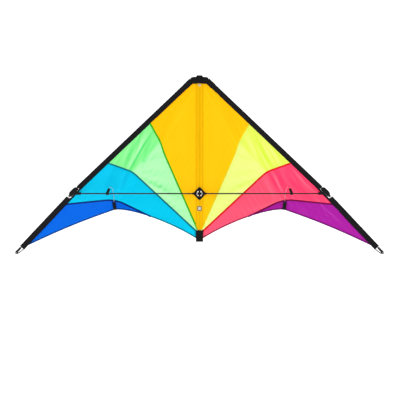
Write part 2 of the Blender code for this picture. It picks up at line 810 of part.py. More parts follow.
def make_centre_strip():
    """Double layer of cloth down the middle of the sail."""
    levels = [0.405 - (0.405 + 0.150) * i / 18 for i in range(19)]
    front = []
    for z in levels:
        t = min(max((STRIP_TAPER[0] - z) / (STRIP_TAPER[0] - STRIP_TAPER[1]), 0.0), 1.0)
        half = STRIP_HALF_WIDTH + (STRIP_END_HALF_WIDTH - STRIP_HALF_WIDTH) * t
        columns = [half * (i / 2 - 1) for i in range(5)]
        front.append([on_sail(Vector((abs(x), z)), 1 if x >= 0 else -1, 0.0010) for x in columns])
    back = [[point + Vector((0, SHEET, 0)) for point in row] for row in front]
    strip = finish("centre_strip", shell(front, back), (0.98, 0.58, 0.0), 0.5)
    cut_hole(strip)


def make_centre_patch():
    wide, high = PATCH_HALF_WIDTH, PATCH_HALF_HEIGHT
    outline = ((wide, 0), (0, high), (-wide, 0), (0, -high))
    diamond = prism(outline, SAIL_Y - 0.0020, SAIL_Y - 0.0013)
    made = finish("centre_patch", diamond, (0.02, 0.02, 0.02), 0.85)
    cut_hole(made)


def make_badge():
    inner = BADGE_HALF_WIDTH - BADGE_CORNER
    outline = []
    for quarter in range(4):
        centre = Matrix.Rotation(math.pi / 2 * quarter, 2) @ Vector((inner, inner))
        for i in range(4):
            turn = math.pi / 2 * (quarter + i / 3)
            x = centre.x + BADGE_CORNER * math.cos(turn)
            z = centre.y + BADGE_CORNER * math.sin(turn)
            outline.append((x, BADGE_AT + z))
    finish("badge", prism(outline, SAIL_Y - 0.0017, SAIL_Y - 0.0013), (0.78, 0.77, 0.72), 0.6)


# Spine, tee, nose and tail.


def make_spine():
    bottom = Vector((0, SPINE_Y, SPINE_BOTTOM))
    top = Vector((0, SPINE_Y, SPINE_TOP))
    finish("spine", cylinder(bottom, top, ROD_RADIUS, ROD_SIDES), (0.03, 0.03, 0.035), 0.3, smooth=True)
    cap_bottom = Vector((0, SPINE_Y, SPINE_BOTTOM - 0.002))
    cap_top = Vector((0, SPINE_Y, SPINE_BOTTOM + CAP_LENGTH))
    cap = cylinder(cap_bottom, cap_top, CAP_WALL_RADIUS, 16)
    made = finish("spine_cap", cap, (0.015, 0.015, 0.015), 0.8, smooth=True)
    start = Vector((0, SPINE_Y, SPINE_BOTTOM - WALL_GAP))
    cut(made, cylinder(start, Vector((0, SPINE_Y, 0)), ROD_RADIUS + WALL_GAP, 16), "cap_bore")


def make_tee():
    """Hub on the spine: a barrel behind, and a block in front between the two spreader arms."""
    low = Vector((0, SPINE_Y, -BARREL_HALF_LENGTH))
    high = Vector((0, SPINE_Y, BARREL_HALF_LENGTH))
    tee = finish("centre_tee", cylinder(low, high, BARREL_RADIUS, 20), (0.014, 0.014, 0.016), 0.5)
    outline = []
    corner = 0.0012
    for x_sign, z_sign in ((1, 1), (-1, 1), (-1, -1), (1, -1)):
        x = TEE_HALF_WIDTH * x_sign
        z = TEE_HALF_HEIGHT * z_sign
        first = (x, z - corner * z_sign)
        second = (x - corner * x_sign, z)
        outline += [first, second] if x_sign * z_sign > 0 else [second, first]
    join(tee, prism(outline, 0.0, SPINE_Y - 0.0012), "block")
    reach = Vector((0, 0, 0.01))
    cut(tee, cylinder(low - reach, high + reach, ROD_RADIUS + WALL_GAP, 20), "bore")


def make_spreader(word, side):
    pivot = axis_empty(f"spreader_{word}_axis", Vector((side * ARM_PIVOT_X, SPREADER_Y, 0)))
    start = Vector((side * (ARM_PIVOT_X + ROD_IN_ARM), SPREADER_Y, 0))
    end = Vector((side * SPREADER_END_X, SPREADER_Y, 0))
    rod = cylinder(start, end, SPREADER_RADIUS, ROD_SIDES)
    finish(f"spreader_{word}", rod, (0.045, 0.047, 0.055), 0.3, pivot, True)
    make_arm(word, side, pivot)
    make_standoff(word, side, pivot)


def make_arm(word, side, pivot):
    """Rubber arm of the tee: a round root that bends, and a tube that the rod goes into."""
    outline = []
    for i in range(13):
        turn = math.pi * (0.5 + i / 12)
        outline.append((ARM_PIVOT_X + ARM_RADIUS * math.cos(turn), ARM_RADIUS * math.sin(turn)))
    outline += [(ARM_END_X, -ARM_END_HALF_HEIGHT), (ARM_END_X, ARM_END_HALF_HEIGHT)]
    plan = [(side * x, z) for x, z in outline]
    bm = prism(plan, SPREADER_Y - ARM_HALF_DEPTH, SPREADER_Y + ARM_HALF_DEPTH)
    arm = finish(f"tee_arm_{word}", bm, (0.014, 0.014, 0.016), 0.55, pivot)
    start = Vector((side * (ARM_PIVOT_X + ARM_BORE_START), SPREADER_Y, 0))
    end = Vector((side * (ARM_END_X + 0.016), SPREADER_Y, 0))
    cut(arm, cylinder(start, end, SPREADER_RADIUS + WALL_GAP, 16), "arm_bore")


def whisker_route(side):
    points = []
    for x, z, in_front in WHISKER_ROUTE:
        points.append(on_sail(Vector((x, z)), side, in_front))
    return points


def make_standoff(word, side, spreader_axis):
    pivot = axis_empty(f"standoff_{word}_axis", Vector((side * CLIP_X, SPREADER_Y, 0)), spreader_axis)
    route = whisker_route(side)
    smooth = smooth_route(route, 3)
    finish(f"whisker_{word}", tube_along(smooth, WHISKER_RADIUS, 8), (0.72, 0.74, 0.74), 0.35, pivot, True)
    make_clip(word, side, route, pivot)
    tip = route[-1]
    lead = (route[-1] - route[-2]).normalized()
    top = tip - lead * CAP_ABOVE_END
    bottom = tip + lead * CAP_BELOW_END
    cap_mesh = cylinder(top, bottom, CAP_RADIUS, 12)
    cap = finish(f"whisker_cap_{word}", cap_mesh, (0.02, 0.02, 0.02), 0.7, pivot, True)
    bore_start = top - lead * 0.01
    cut(cap, cylinder(bore_start, tip + lead * WALL_GAP, WHISKER_RADIUS + WALL_GAP, 12), "cap_bore")


def make_clip(word, side, route, pivot):
    """Moulded clip: it turns on the spreader, and its upper end holds the whisker."""
    low = Vector((side * (CLIP_X + 0.0011), SPREADER_Y, -CLIP_FOOT))
    on_rod = Vector((side * CLIP_X, SPREADER_Y, 0.0))
    high = route[1].copy()
    high.z -= 0.0020
    lead = (high - on_rod).normalized()
    rings = []
    for ahead, radius in CLIP_SECTIONS:
        rings.append(ring_round(low + Vector((0, 0, ahead)), Vector((0, 0, 1)), radius, 16))
    rings.append(ring_round(high - lead * 0.0030, lead, CLIP_NECK_RADIUS, 16))
    rings.append(ring_round(high, lead, CLIP_TOP_RADIUS, 16))
    clip = finish(f"clip_{word}", loft(rings), (0.018, 0.018, 0.020), 0.5, pivot)
    start = Vector((side * (CLIP_X - 0.02), SPREADER_Y, 0))
    end = Vector((side * (CLIP_X + 0.02), SPREADER_Y, 0))
    cut(clip, cylinder(start, end, SPREADER_RADIUS + WALL_GAP, 20), "rod_bore")
    along = (route[1] - route[0]).normalized()
    socket_start = route[0] - along * 0.0008
    socket_end = route[1] + along * 0.006
    cut(clip, cylinder(socket_start, socket_end, WHISKER_RADIUS + 0.0005, 12), "whisker_bore")


def mirrored(half):
    """An outline from the half of it at positive X."""
    return [*half, *((-x, z) for x, z in reversed(half))]


def make_nose():
    """Folded webbing over the nose: front and back plates, joined along the top."""
    outline = mirrored(NOSE_OUTLINE[1:-1])
    low, high = NOSE_OUTLINE[-1], NOSE_OUTLINE[0]
    middle = len(NOSE_OUTLINE) - 2
    outline = [high, *outline[:middle], low, *outline[middle:]]
    nose = finish("nose_webbing", prism(outline, NOSE_FRONT, NOSE_BACK), (0.016, 0.016, 0.018), 0.85)
    room = prism(mirrored(NOSE_ROOM), NOSE_FRONT + WEBBING_THICKNESS, NOSE_BACK - WEBBING_THICKNESS)
    cut(nose, room, "room")
    make_nose_tab()
    rings = []
    for radius in EYELET_RADII:
        ring = []
        for depth in (SAIL_Y - 0.0022, SAIL_Y - 0.0013):
            ring.append(ring_round(Vector((0, depth, EYELET_AT)), Vector((0, 1, 0)), radius, 20))
        rings.append(ring)
    finish("nose_eyelet", loft_hollow(rings[0], rings[1]), (0.70, 0.70, 0.68), 0.35, smooth=True)


def make_nose_tab():
    """Narrow webbing folded over the nose's middle, outside the wide piece."""
    thick = WEBBING_THICKNESS
    front = NOSE_FRONT - WALL_GAP
    back = NOSE_BACK + WALL_GAP
    crown = TAB_TOP + TAB_CROWN
    profile = [
        (front, TAB_BOTTOM),
        (front, TAB_TOP),
        (back, TAB_TOP),
        (back, TAB_BOTTOM),
        (back + thick, TAB_BOTTOM),
        (back + thick, crown - 0.0010),
        (back + thick * 0.3, crown),
        (front - thick * 0.3, crown),
        (front - thick, crown - 0.0010),
        (front - thick, TAB_BOTTOM),
    ]
    rings = [[Vector((x, y, z)) for y, z in profile] for x in (-TAB_HALF_WIDTH, TAB_HALF_WIDTH)]
    finish("nose_tab", loft(rings), (0.022, 0.022, 0.024), 0.85)


def make_tail():
    """Webbing tab in front of the spine's end, and the flap that closes behind it."""
    front = SAIL_Y - TAIL_IN_FRONT
    thick = TAIL_THICKNESS
    outline = (
        (TAIL_HALF_WIDTH, TAIL_TOP),
        (-TAIL_HALF_WIDTH, TAIL_TOP),
        (-TAIL_HALF_WIDTH, TAIL_BOTTOM),
        (TAIL_HALF_WIDTH, TAIL_BOTTOM),
    )
    finish("tail_tab", prism(outline, front, front + thick), (0.012, 0.012, 0.013), 0.9)
    behind = SPINE_Y + TAIL_BEHIND_SPINE
    flap_front = front + thick + WALL_GAP
    hinge = Vector((0, front + thick + 0.0015, TAIL_BOTTOM + 0.0005))
    pivot = axis_empty("tail_flap_axis", hinge)
    profile = [
        (flap_front, TAIL_BOTTOM),
        (behind + thick, TAIL_BOTTOM),
        (behind + thick, TAIL_TOP - 0.004),
        (behind, TAIL_TOP - 0.004),
        (behind, TAIL_BOTTOM + thick),
        (flap_front, TAIL_BOTTOM + thick),
    ]
    rings = [[Vector((x, y, z)) for y, z in profile] for x in (-TAIL_HALF_WIDTH, TAIL_HALF_WIDTH)]
    finish("tail_flap", loft(rings), (0.016, 0.016, 0.017), 0.95, pivot)


def build():
    clear_scene()
    make_spine()
    make_tee()
    make_nose()
    make_centre_strip()
    make_centre_patch()
    make_badge()
    make_tail()
    for word, side in SIDES.items():
        make_panels(word, side)
        make_hem(word, side)
        make_pocket(word, side)
        make_wing(word, side)
        make_spreader(word, side)


build()
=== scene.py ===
"""Looks of the two-line delta kite: the sail, its stitching, the fittings, the light and the camera.

Everything is in metres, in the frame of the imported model: +X across the span, +Y away from
the flyer, +Z up, with the origin in the middle of the centre tee's front face.
"""

import json
import math
import random

import bmesh
import bpy
import numpy as np
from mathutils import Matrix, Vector


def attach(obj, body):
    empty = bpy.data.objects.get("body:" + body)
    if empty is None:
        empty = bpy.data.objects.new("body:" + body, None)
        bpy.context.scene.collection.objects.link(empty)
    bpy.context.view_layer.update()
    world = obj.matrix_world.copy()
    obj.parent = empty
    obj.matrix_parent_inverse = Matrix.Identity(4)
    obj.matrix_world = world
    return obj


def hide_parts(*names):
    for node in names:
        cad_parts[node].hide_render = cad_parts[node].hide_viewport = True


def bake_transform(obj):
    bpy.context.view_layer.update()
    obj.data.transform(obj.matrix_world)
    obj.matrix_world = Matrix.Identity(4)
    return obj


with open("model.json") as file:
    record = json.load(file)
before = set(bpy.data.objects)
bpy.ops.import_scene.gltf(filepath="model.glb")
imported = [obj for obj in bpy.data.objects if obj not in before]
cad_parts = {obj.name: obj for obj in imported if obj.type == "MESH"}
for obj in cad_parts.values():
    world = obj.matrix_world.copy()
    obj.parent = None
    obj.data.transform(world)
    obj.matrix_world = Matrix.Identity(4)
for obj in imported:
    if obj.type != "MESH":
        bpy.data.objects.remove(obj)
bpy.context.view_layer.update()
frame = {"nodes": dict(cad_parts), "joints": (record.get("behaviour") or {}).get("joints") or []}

NODES = frame["nodes"]
JOINTS = {joint["name"]: joint for joint in frame["joints"]}
SIDES = {"left": -1, "right": 1}
SCENE = bpy.context.scene

# Joint axes fix the nose pivots, the plane of the leading edges and the spreaders' line.
WING_AXIS = Vector(JOINTS["wing_right_fold"]["pos_m"])
ARM_AXIS = Vector(JOINTS["spreader_right_swing"]["pos_m"])
NOSE_PIVOT = Vector((WING_AXIS.x, WING_AXIS.z))
SAIL_Y = WING_AXIS.y
SPREADER_Y = ARM_AXIS.y
SPINE_Y = SAIL_Y + 0.0034
BADGE_AT = -0.053

# Leading edge.
UPPER_HEADING = math.radians(46.45)
LOWER_HEADING = math.radians(43.2)
BOW_START, BOW_END = 0.540, 0.660
ROD_START, ROD_END = 0.002, 0.882
ROD_RADIUS = 0.0025
SPREADER_RADIUS = 0.0023
SPREADER_END_X = 0.436
WHISKER_RADIUS = 0.0010
TIP_LOOP_RADIUS = 0.0016
SLEEVE_OUT = 0.0065
SLEEVE_IN_UPPER, SLEEVE_IN_LOWER = 0.0126, 0.0138
SLEEVE_HALF_DEPTH = 0.0036
SLEEVE_WALL = 0.00030
SEWN_HALF_DEPTH = 0.00055
UPPER_SLEEVE = (0.0165, 0.5690)
LOWER_SLEEVE = (0.6185, 0.860)
NOSE_STRIP = (0.0165, 0.046)
CONNECTOR_START, CONNECTOR_END = 0.5713, 0.6103
NOCK = (0.8615, 0.890)

# Sail plan: seams from the leading edge over the ridge to the tail, and the trailing edge.
RIDGE_ANGLE = math.radians(33.0)
RIDGE_RISE = 0.209
RIDGE_START, RIDGE_EASE, RIDGE_ROUNDING = 0.090, 0.030, 0.2
SPINE_FLAT = math.radians(3.0)
SEAM_AT_EDGE = (0.2274, 0.432, 0.640)
TIP_AT_EDGE, PANEL_TIP_AT_EDGE = 0.841, 0.833
SEAM_RIDGE = (Vector((0.1385, 0.184)), Vector((0.238, 0.0768)), Vector((0.300, -0.0205)))
SEAM_END = (Vector((0.0066, -0.128)), Vector((0.0118, -0.1330)))
SEAM_CORNER = (0.013, 0.016, 0.038)
SEAM_BEND = Vector((0.1250, 0.1415))
TRAIL_POCKET = Vector((0.3006, -0.0571))
TRAIL_CURVE = (Vector((0.235, -0.0535)), Vector((0.100, -0.1037)), Vector((0.0118, -0.1590)))
TRAIL_RISE = 0.0058
TRAIL_JOIN = 1.47
TRAIL_START = 0.024 * 0.2
HEM_WIDTH = 0.0048
SEAM_WIDTH = 0.0060
STRIP_HALF_WIDTH = 0.013
STRIP_TAPER = (-0.112, -0.130)
STRIP_END_HALF_WIDTH = 0.0056
STRIP_TOP, STRIP_BOTTOM = 0.404, -0.1500
HOLE_RADIUS = 0.0107
PATCH_HALF_WIDTH, PATCH_HALF_HEIGHT = 0.023, 0.0244
DIAMOND = 1.06
POCKET_TOP, POCKET_BOTTOM = Vector((0.3044, -0.0302)), Vector((0.3008, -0.0578))
POCKET_HALF_WIDTH, POCKET_HALF_DEPTH = 0.0059, 0.0031
OUTBOARD_STEPS, INBOARD_STEPS, ACROSS_STEPS = 26, 54, 34

# Cloth.
CLOTH = 0.00025
LAYER = 0.00022
THREAD = 0.00022
STITCH, STITCH_PITCH = 0.0023, 0.0032
NOSE_FRONT, NOSE_TAB_FRONT, TAIL_FRONT = 0.0060, 0.0074, 0.0028
RIPSTOP_PITCH, RIPSTOP_WIDTH = 0.0050, 0.0004
WEAVE_PITCH = 0.0004
STRIP_LINE_AT, STRIP_LINE_WIDTH, STRIP_MIDDLE_WIDTH = 0.0122, 0.0011, 0.0010

# Camera: a long lens, square to the kite, with the spreaders a little above the middle.
CAMERA_AWAY = 14.0
FRAME_WIDTH = 1.416
CAMERA_X, CAMERA_Z = 0.0018, -0.0227
SENSOR = 36.0

# Stage: floor level, the card's wall, the room that the camera sees, and the lamps.
FLOOR_Z = -1.35
CARD_START, CARD_WALL, CARD_CURVE, CARD_TOP, CARD_HALF_WIDTH = -9.0, 3.4, 1.6, 7.0, 9.0
ROOM_CENTRE, ROOM_WALL, ROOM_CURVE, ROOM_TOP, ROOM_SIDES = 0.5, 19.0, 3.0, 19.0, 96
PAPER_TONE, PAPER_GLOW, SKY_STRENGTH = 0.92, 0.88, 0.345
LAMPS = (
    ("key_left", (-3.4, -2.6, 1.3), (2.2, 2.2), 56),
    ("key_right", (3.4, -2.6, 1.3), (2.2, 2.2), 56),
    ("top", (0, -0.8, 3.0), (2.4, 1.2), 11),
)

# Cloth colours: outboard of the ridge; inboard of it, a paler painted sheen; down in a fold, painted shade;
# and on a fold that catches the light, a painted highlight.
CLOTH_COLOURS = {
    "cloth_yellow": ((1.0, 0.60, 0.001), (1.0, 0.64, 0.004), (1.0, 0.57, 0.001), (1.0, 0.70, 0.020)),
    "cloth_mint": ((0.280, 0.87, 0.320), (0.53, 0.95, 0.550), (0.060, 0.76, 0.200), (0.68, 0.99, 0.690)),
    "cloth_cyan": ((0.0, 0.605, 0.83), (0.0, 0.645, 0.85), (0.0, 0.50, 0.74), (0.01, 0.70, 0.92)),
    "cloth_blue": ((0.0, 0.155, 0.755), (0.0, 0.162, 0.77), (0.0, 0.135, 0.70), (0.0, 0.175, 0.82)),
    "cloth_lime": ((0.79, 0.89, 0.130), (0.86, 0.94, 0.310), (0.70, 0.90, 0.060), (0.91, 0.97, 0.430)),
    "cloth_pink": ((1.0, 0.076, 0.200), (1.0, 0.130, 0.235), (0.95, 0.036, 0.160), (1.0, 0.230, 0.350)),
    "cloth_purple": ((0.45, 0.014, 0.40), (0.46, 0.018, 0.40), (0.38, 0.010, 0.34), (0.58, 0.060, 0.50)),
}
SEAM_COLOURS = {
    "left": ((0.030, 0.46, 0.006), (0.001, 0.20, 0.25), (0.001, 0.022, 0.20)),
    "right": ((0.90, 0.66, 0.008), (0.76, 0.007, 0.012), (0.18, 0.002, 0.070)),
}
CLOTH_SLOTS = {
    "left": ("cloth_yellow", "cloth_mint", "cloth_cyan", "cloth_blue"),
    "right": ("cloth_yellow", "cloth_lime", "cloth_pink", "cloth_purple"),
}


# Camera and stage.


def link(name, data):
    made = bpy.data.objects.new(name, data)
    SCENE.collection.objects.link(made)
    return made


def make_camera():
    data = bpy.data.cameras.new("camera")
    data.sensor_width = SENSOR
    data.lens = SENSOR * CAMERA_AWAY / FRAME_WIDTH
    data.clip_end = 60
    camera = link("camera", data)
    camera.location = (CAMERA_X, SAIL_Y - CAMERA_AWAY, CAMERA_Z)
    camera.rotation_euler = (math.radians(90), 0, 0)
    SCENE.camera = camera


def area_light(name, place, size, power):
    data = bpy.data.lights.new(name, "AREA")
    data.shape = "RECTANGLE"
    data.size, data.size_y = size
    data.energy = power
    lamp = link(name, data)
    lamp.location = place
    lamp.rotation_euler = (-Vector(place)).to_track_quat("-Z", "Y").to_euler()


def floor_to_wall(start, wall, curve, top):
    """Profile, out and up, of a floor that curves up into a wall."""
    turns = [math.pi / 2 * i / 12 for i in range(13)]
    bend = [
        (wall - curve + curve * math.sin(turn), FLOOR_Z + curve - curve * math.cos(turn)) for turn in turns
    ]
    return [(start, FLOOR_Z), *bend, (wall, top)]


def backdrop(name, rows, paper, closed=False):
    """A smooth surface through rows of points; closed joins each row's ends and fills the first row."""
    bm = bmesh.new()
    rows = [[bm.verts.new(point) for point in row] for row in rows]
    if closed:
        bm.faces.new(rows[0])
        rows = [row + row[:1] for row in rows]
    for near, far in zip(rows, rows[1:]):
        for corners in zip(near, far, far[1:], near[1:]):
            bm.faces.new(corners)
    mesh = bpy.data.meshes.new(name)
    bm.to_mesh(mesh)
    bm.free()
    made = new_object(name, mesh, paper)
    return made


def make_room(paper):
    """A wide, pale, round room that the camera sees from every side; it takes no light away."""
    rows = []
    for reach, z in floor_to_wall(ROOM_CENTRE, ROOM_WALL, ROOM_CURVE, ROOM_TOP):
        turns = [2 * math.pi * i / ROOM_SIDES for i in range(ROOM_SIDES)]
        rows.append([(reach * math.cos(turn), reach * math.sin(turn), z) for turn in turns])
    room = backdrop("room", rows, paper, closed=True)
    room.visible_diffuse = False
    room.visible_glossy = False
    room.visible_transmission = False
    room.visible_shadow = False


def make_stage():
    """A pale curved card behind and below the kite, a round room, three lamps and a soft sky."""
    paper = bpy.data.materials.new("paper")
    paper.use_nodes = True
    shader = paper.node_tree.nodes["Principled BSDF"]
    shader.inputs["Base Color"].default_value = (PAPER_TONE, PAPER_TONE, PAPER_TONE, 1)
    shader.inputs["Roughness"].default_value = 0.9
    shader.inputs["Emission Color"].default_value = (1, 1, 1, 1)
    shader.inputs["Emission Strength"].default_value = PAPER_GLOW
    profile = floor_to_wall(CARD_START, CARD_WALL, CARD_CURVE, CARD_TOP)
    rows = [[(x, y, z) for y, z in profile] for x in (-CARD_HALF_WIDTH, CARD_HALF_WIDTH)]
    card = backdrop("sweep", rows, paper)
    card.visible_camera = False
    make_room(paper)
    world = bpy.data.worlds.new("sky")
    world.use_nodes = True
    sky = world.node_tree.nodes["Background"]
    sky.inputs["Color"].default_value = (1.0, 1.0, 1.0, 1)
    sky.inputs["Strength"].default_value = SKY_STRENGTH
    SCENE.world = world
    for name, place, size, power in LAMPS:
        area_light(name, place, size, power)
    SCENE.view_settings.view_transform = "Standard"
    SCENE.view_settings.look = "None"


# Materials.


class Graph:
    """A material's node tree with short ways to add and join nodes."""

    def __init__(self, name):
        self.material = bpy.data.materials.new(name)
        self.material.use_nodes = True
        self.tree = self.material.node_tree
        self.shader = self.tree.nodes["Principled BSDF"]
        self.out = self.tree.nodes["Material Output"]

    def add(self, kind, **settings):
        node = self.tree.nodes.new(kind)
        for key, value in settings.items():
            setattr(node, key, value)
        return node

    def join(self, source, target):
        self.tree.links.new(source, target)

    def math(self, operation, first, second=0.0):
        node = self.add("ShaderNodeMath", operation=operation)
        for socket, value in zip(node.inputs, (first, second)):
            if isinstance(value, (int, float)):
                socket.default_value = value
            else:
                self.join(value, socket)
        return node.outputs[0]

    def mix(self, factor, first, second):
        node = self.add("ShaderNodeMix", data_type="RGBA")
        factor_socket, first_socket, second_socket = node.inputs[0], node.inputs[6], node.inputs[7]
        for socket, value in ((factor_socket, factor), (first_socket, first), (second_socket, second)):
            if isinstance(value, (int, float)):
                socket.default_value = value
            elif isinstance(value, tuple):
                socket.default_value = (*value, 1.0)
            else:
                self.join(value, socket)
        return node.outputs[2]

    def noise(self, vector, scale, detail=3.0, stretch=(1, 1, 1)):
        mapping = self.add("ShaderNodeMapping")
        mapping.inputs["Scale"].default_value = stretch
        self.join(vector, mapping.inputs["Vector"])
        node = self.add("ShaderNodeTexNoise")
        node.inputs["Scale"].default_value = scale
        node.inputs["Detail"].default_value = detail
        self.join(mapping.outputs[0], node.inputs["Vector"])
        return node.outputs["Fac"]

    def bump(self, height, distance, strength=1.0, below=None):
        node = self.add("ShaderNodeBump")
        node.inputs["Strength"].default_value = strength
        node.inputs["Distance"].default_value = distance
        self.join(height, node.inputs["Height"])
        if below is not None:
            self.join(below, node.inputs["Normal"])
        return node.outputs[0]

    def base(self, colour, roughness, coat=0.0, specular=0.5):
        self.shader.inputs["Base Color"].default_value = (*colour, 1.0)
        self.shader.inputs["Roughness"].default_value = roughness
        self.shader.inputs["Coat Weight"].default_value = coat
        self.shader.inputs["Specular IOR Level"].default_value = specular


def shade(colour, factor):
    return tuple(min(1.0, c * factor) for c in colour)


def nearness(graph, distance, width):
    """1 at no distance, falling to 0 at the width."""
    return graph.math("SUBTRACT", 1.0, graph.math("MINIMUM", graph.math("DIVIDE", distance, width), 1.0))


def thin_line(graph, coordinate, pitch, width):
    """1 on a thin line every pitch along a coordinate, 0 between, with soft edges."""
    turn = graph.math("PINGPONG", graph.math("ADD", coordinate, 10 * pitch), pitch / 2)
    return nearness(graph, turn, width)


def cloth_material(
    name, colour, painted_light_tones=None, glow=0.32, roughness=0.50, lines=0.10, specular=0.05, line_at=None
):
    """Coated ripstop: a grid of thicker threads, a fine weave, painted shade and highlight on folds, a paler
    painted sheen inboard of the ridge, and light through it.
    """
    graph = Graph(name)
    graph.base(colour, roughness, specular=specular)
    uv = graph.add("ShaderNodeUVMap", uv_map="UVMap")
    parts = graph.add("ShaderNodeSeparateXYZ")
    graph.join(uv.outputs[0], parts.inputs[0])
    u, v = parts.outputs[0], parts.outputs[1]
    thick = [thin_line(graph, coordinate, RIPSTOP_PITCH, RIPSTOP_WIDTH) for coordinate in (u, v)]
    grid = graph.math("MAXIMUM", *thick)
    fine = [thin_line(graph, coordinate, WEAVE_PITCH, WEAVE_PITCH / 2) for coordinate in (u, v)]
    weave = graph.math("MULTIPLY", *fine)
    cloud = graph.noise(uv.outputs[0], 9.0, 4.0)
    creases = graph.noise(uv.outputs[0], 26.0, 2.0, stretch=(1.0, 0.22, 1.0))
    tone = colour
    # Painted light: the inboard tone is a paler painted sheen inboard of the ridge, deep is painted shade in
    # a fold, and the last tone is a painted highlight on a fold.
    if painted_light_tones is not None:
        inboard, deep, painted_highlight = painted_light_tones
        side = graph.add("ShaderNodeAttribute", attribute_name="inboard").outputs["Fac"]
        fold_shading = graph.add("ShaderNodeAttribute", attribute_name="fold_shading").outputs["Fac"]
        tone = graph.mix(side, colour, inboard)
        tone = graph.mix(graph.math("MAXIMUM", fold_shading, 0.0), tone, deep)
        tone = graph.mix(graph.math("MAXIMUM", graph.math("MULTIPLY", fold_shading, -1.0), 0.0), tone, painted_highlight)
    if line_at is not None:
        off = graph.math("ABSOLUTE", graph.math("SUBTRACT", graph.math("ABSOLUTE", u), line_at))
        line = nearness(graph, off, STRIP_LINE_WIDTH)
        middle = nearness(graph, graph.math("ABSOLUTE", u), STRIP_MIDDLE_WIDTH)
        marked = graph.math("MULTIPLY", graph.math("MAXIMUM", line, middle), 0.75)
        tone = graph.mix(marked, tone, shade(colour, 0.62))
    tone = graph.mix(graph.math("MULTIPLY", grid, lines), tone, shade(colour, 0.70))
    patchy = graph.math("MULTIPLY", graph.math("SUBTRACT", cloud, 0.5), 0.20)
    tone = graph.mix(graph.math("ADD", 0.06, patchy), tone, shade(colour, 0.82))
    graph.join(tone, graph.shader.inputs["Base Color"])
    rough = graph.math("ADD", roughness - 0.05, graph.math("MULTIPLY", cloud, 0.12))
    graph.join(rough, graph.shader.inputs["Roughness"])
    relief = graph.bump(weave, 0.00004, 0.5)
    relief = graph.bump(grid, 0.00010, 0.7, relief)
    relief = graph.bump(creases, 0.0022, 0.35, relief)
    graph.join(relief, graph.shader.inputs["Normal"])
    through = graph.add("ShaderNodeBsdfTranslucent")
    through.inputs["Color"].default_value = (*colour, 1.0)
    graph.join(tone, through.inputs["Color"])
    blend = graph.add("ShaderNodeMixShader")
    blend.inputs[0].default_value = glow
    graph.join(graph.shader.outputs[0], blend.inputs[1])
    graph.join(through.outputs[0], blend.inputs[2])
    graph.join(blend.outputs[0], graph.out.inputs["Surface"])
    return graph.material


def webbing_material(name, colour, uses_uv=False, rib=0.0011):
    """Woven tape: ribs across the tape, fine threads along it, a dull fuzz."""
    graph = Graph(name)
    graph.base(colour, 0.80, specular=0.12)
    if uses_uv:
        source = graph.add("ShaderNodeUVMap", uv_map="UVMap").outputs[0]
    else:
        source = graph.add("ShaderNodeTexCoord").outputs["Object"]
    parts = graph.add("ShaderNodeSeparateXYZ")
    graph.join(source, parts.inputs[0])
    length, width = parts.outputs["Y" if uses_uv else "Z"], parts.outputs["X"]
    ribs = graph.math("SINE", graph.math("MULTIPLY", length, 2 * math.pi / rib))
    threads = graph.math("SINE", graph.math("MULTIPLY", width, 2 * math.pi / (rib * 0.6)))
    woven = graph.math("MULTIPLY", graph.math("ADD", ribs, graph.math("MULTIPLY", threads, 0.6)), 0.5)
    fuzz = graph.noise(source, 900.0, 2.0)
    worn = graph.noise(source, 45.0, 4.0)
    lit = graph.math("ADD", graph.math("MULTIPLY", woven, 0.18), graph.math("MULTIPLY", worn, 0.30))
    graph.join(graph.mix(lit, colour, shade(colour, 2.6)), graph.shader.inputs["Base Color"])
    relief = graph.bump(woven, 0.00018, 0.8)
    graph.join(graph.bump(fuzz, 0.00010, 0.5, relief), graph.shader.inputs["Normal"])
    return graph.material


def plastic_material(name, colour, roughness=0.42, specular=0.20):
    """Moulded plastic: a fine spark-eroded grain and slightly uneven polish."""
    graph = Graph(name)
    graph.base(colour, roughness, specular=specular)
    source = graph.add("ShaderNodeTexCoord").outputs["Object"]
    grain = graph.noise(source, 2600.0, 2.0)
    polish = graph.noise(source, 120.0, 3.0)
    rough = graph.math("ADD", roughness - 0.08, graph.math("MULTIPLY", polish, 0.16))
    graph.join(rough, graph.shader.inputs["Roughness"])
    tone = graph.mix(graph.math("MULTIPLY", polish, 0.4), colour, shade(colour, 1.7))
    graph.join(tone, graph.shader.inputs["Base Color"])
    graph.join(graph.bump(grain, 0.00006, 0.5), graph.shader.inputs["Normal"])
    return graph.material


def rod_material(name, colour, roughness=0.30, glow=0.0, coat=0.35, specular=0.5):
    """Pultruded glass fibre: streaks along the rod under a thin gloss."""
    graph = Graph(name)
    graph.base(colour, roughness, coat=coat, specular=specular)
    source = graph.add("ShaderNodeUVMap", uv_map="UVMap").outputs[0]
    streaks = graph.noise(source, 60.0, 4.0, stretch=(40.0, 1.0, 1.0))
    scuffs = graph.noise(source, 300.0, 3.0)
    tone = graph.mix(graph.math("MULTIPLY", streaks, 0.55), colour, shade(colour, 1.5))
    graph.join(tone, graph.shader.inputs["Base Color"])
    rough = graph.math("ADD", roughness - 0.06, graph.math("MULTIPLY", scuffs, 0.14))
    graph.join(rough, graph.shader.inputs["Roughness"])
    graph.join(graph.bump(streaks, 0.00008, 0.4), graph.shader.inputs["Normal"])
    if glow:
        graph.shader.inputs["Transmission Weight"].default_value = glow
    return graph.material


def thread_material(name, colour):
    graph = Graph(name)
    graph.base(colour, 0.7, specular=0.12)
    source = graph.add("ShaderNodeTexCoord").outputs["Object"]
    twist = graph.noise(source, 3000.0, 1.0)
    graph.join(graph.mix(twist, shade(colour, 0.8), shade(colour, 1.15)), graph.shader.inputs["Base Color"])
    graph.join(graph.bump(twist, 0.00004, 0.5), graph.shader.inputs["Normal"])
    return graph.material


# Mesh building.


def new_object(name, mesh, material):
    """An object with smooth faces and one material."""
    mesh.polygons.foreach_set("use_smooth", [True] * len(mesh.polygons))
    mesh.materials.append(material)
    return link(name, mesh)


def fit(piece, body, node=None):
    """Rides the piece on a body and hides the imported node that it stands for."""
    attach(piece, body)
    if node is not None:
        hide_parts(node)


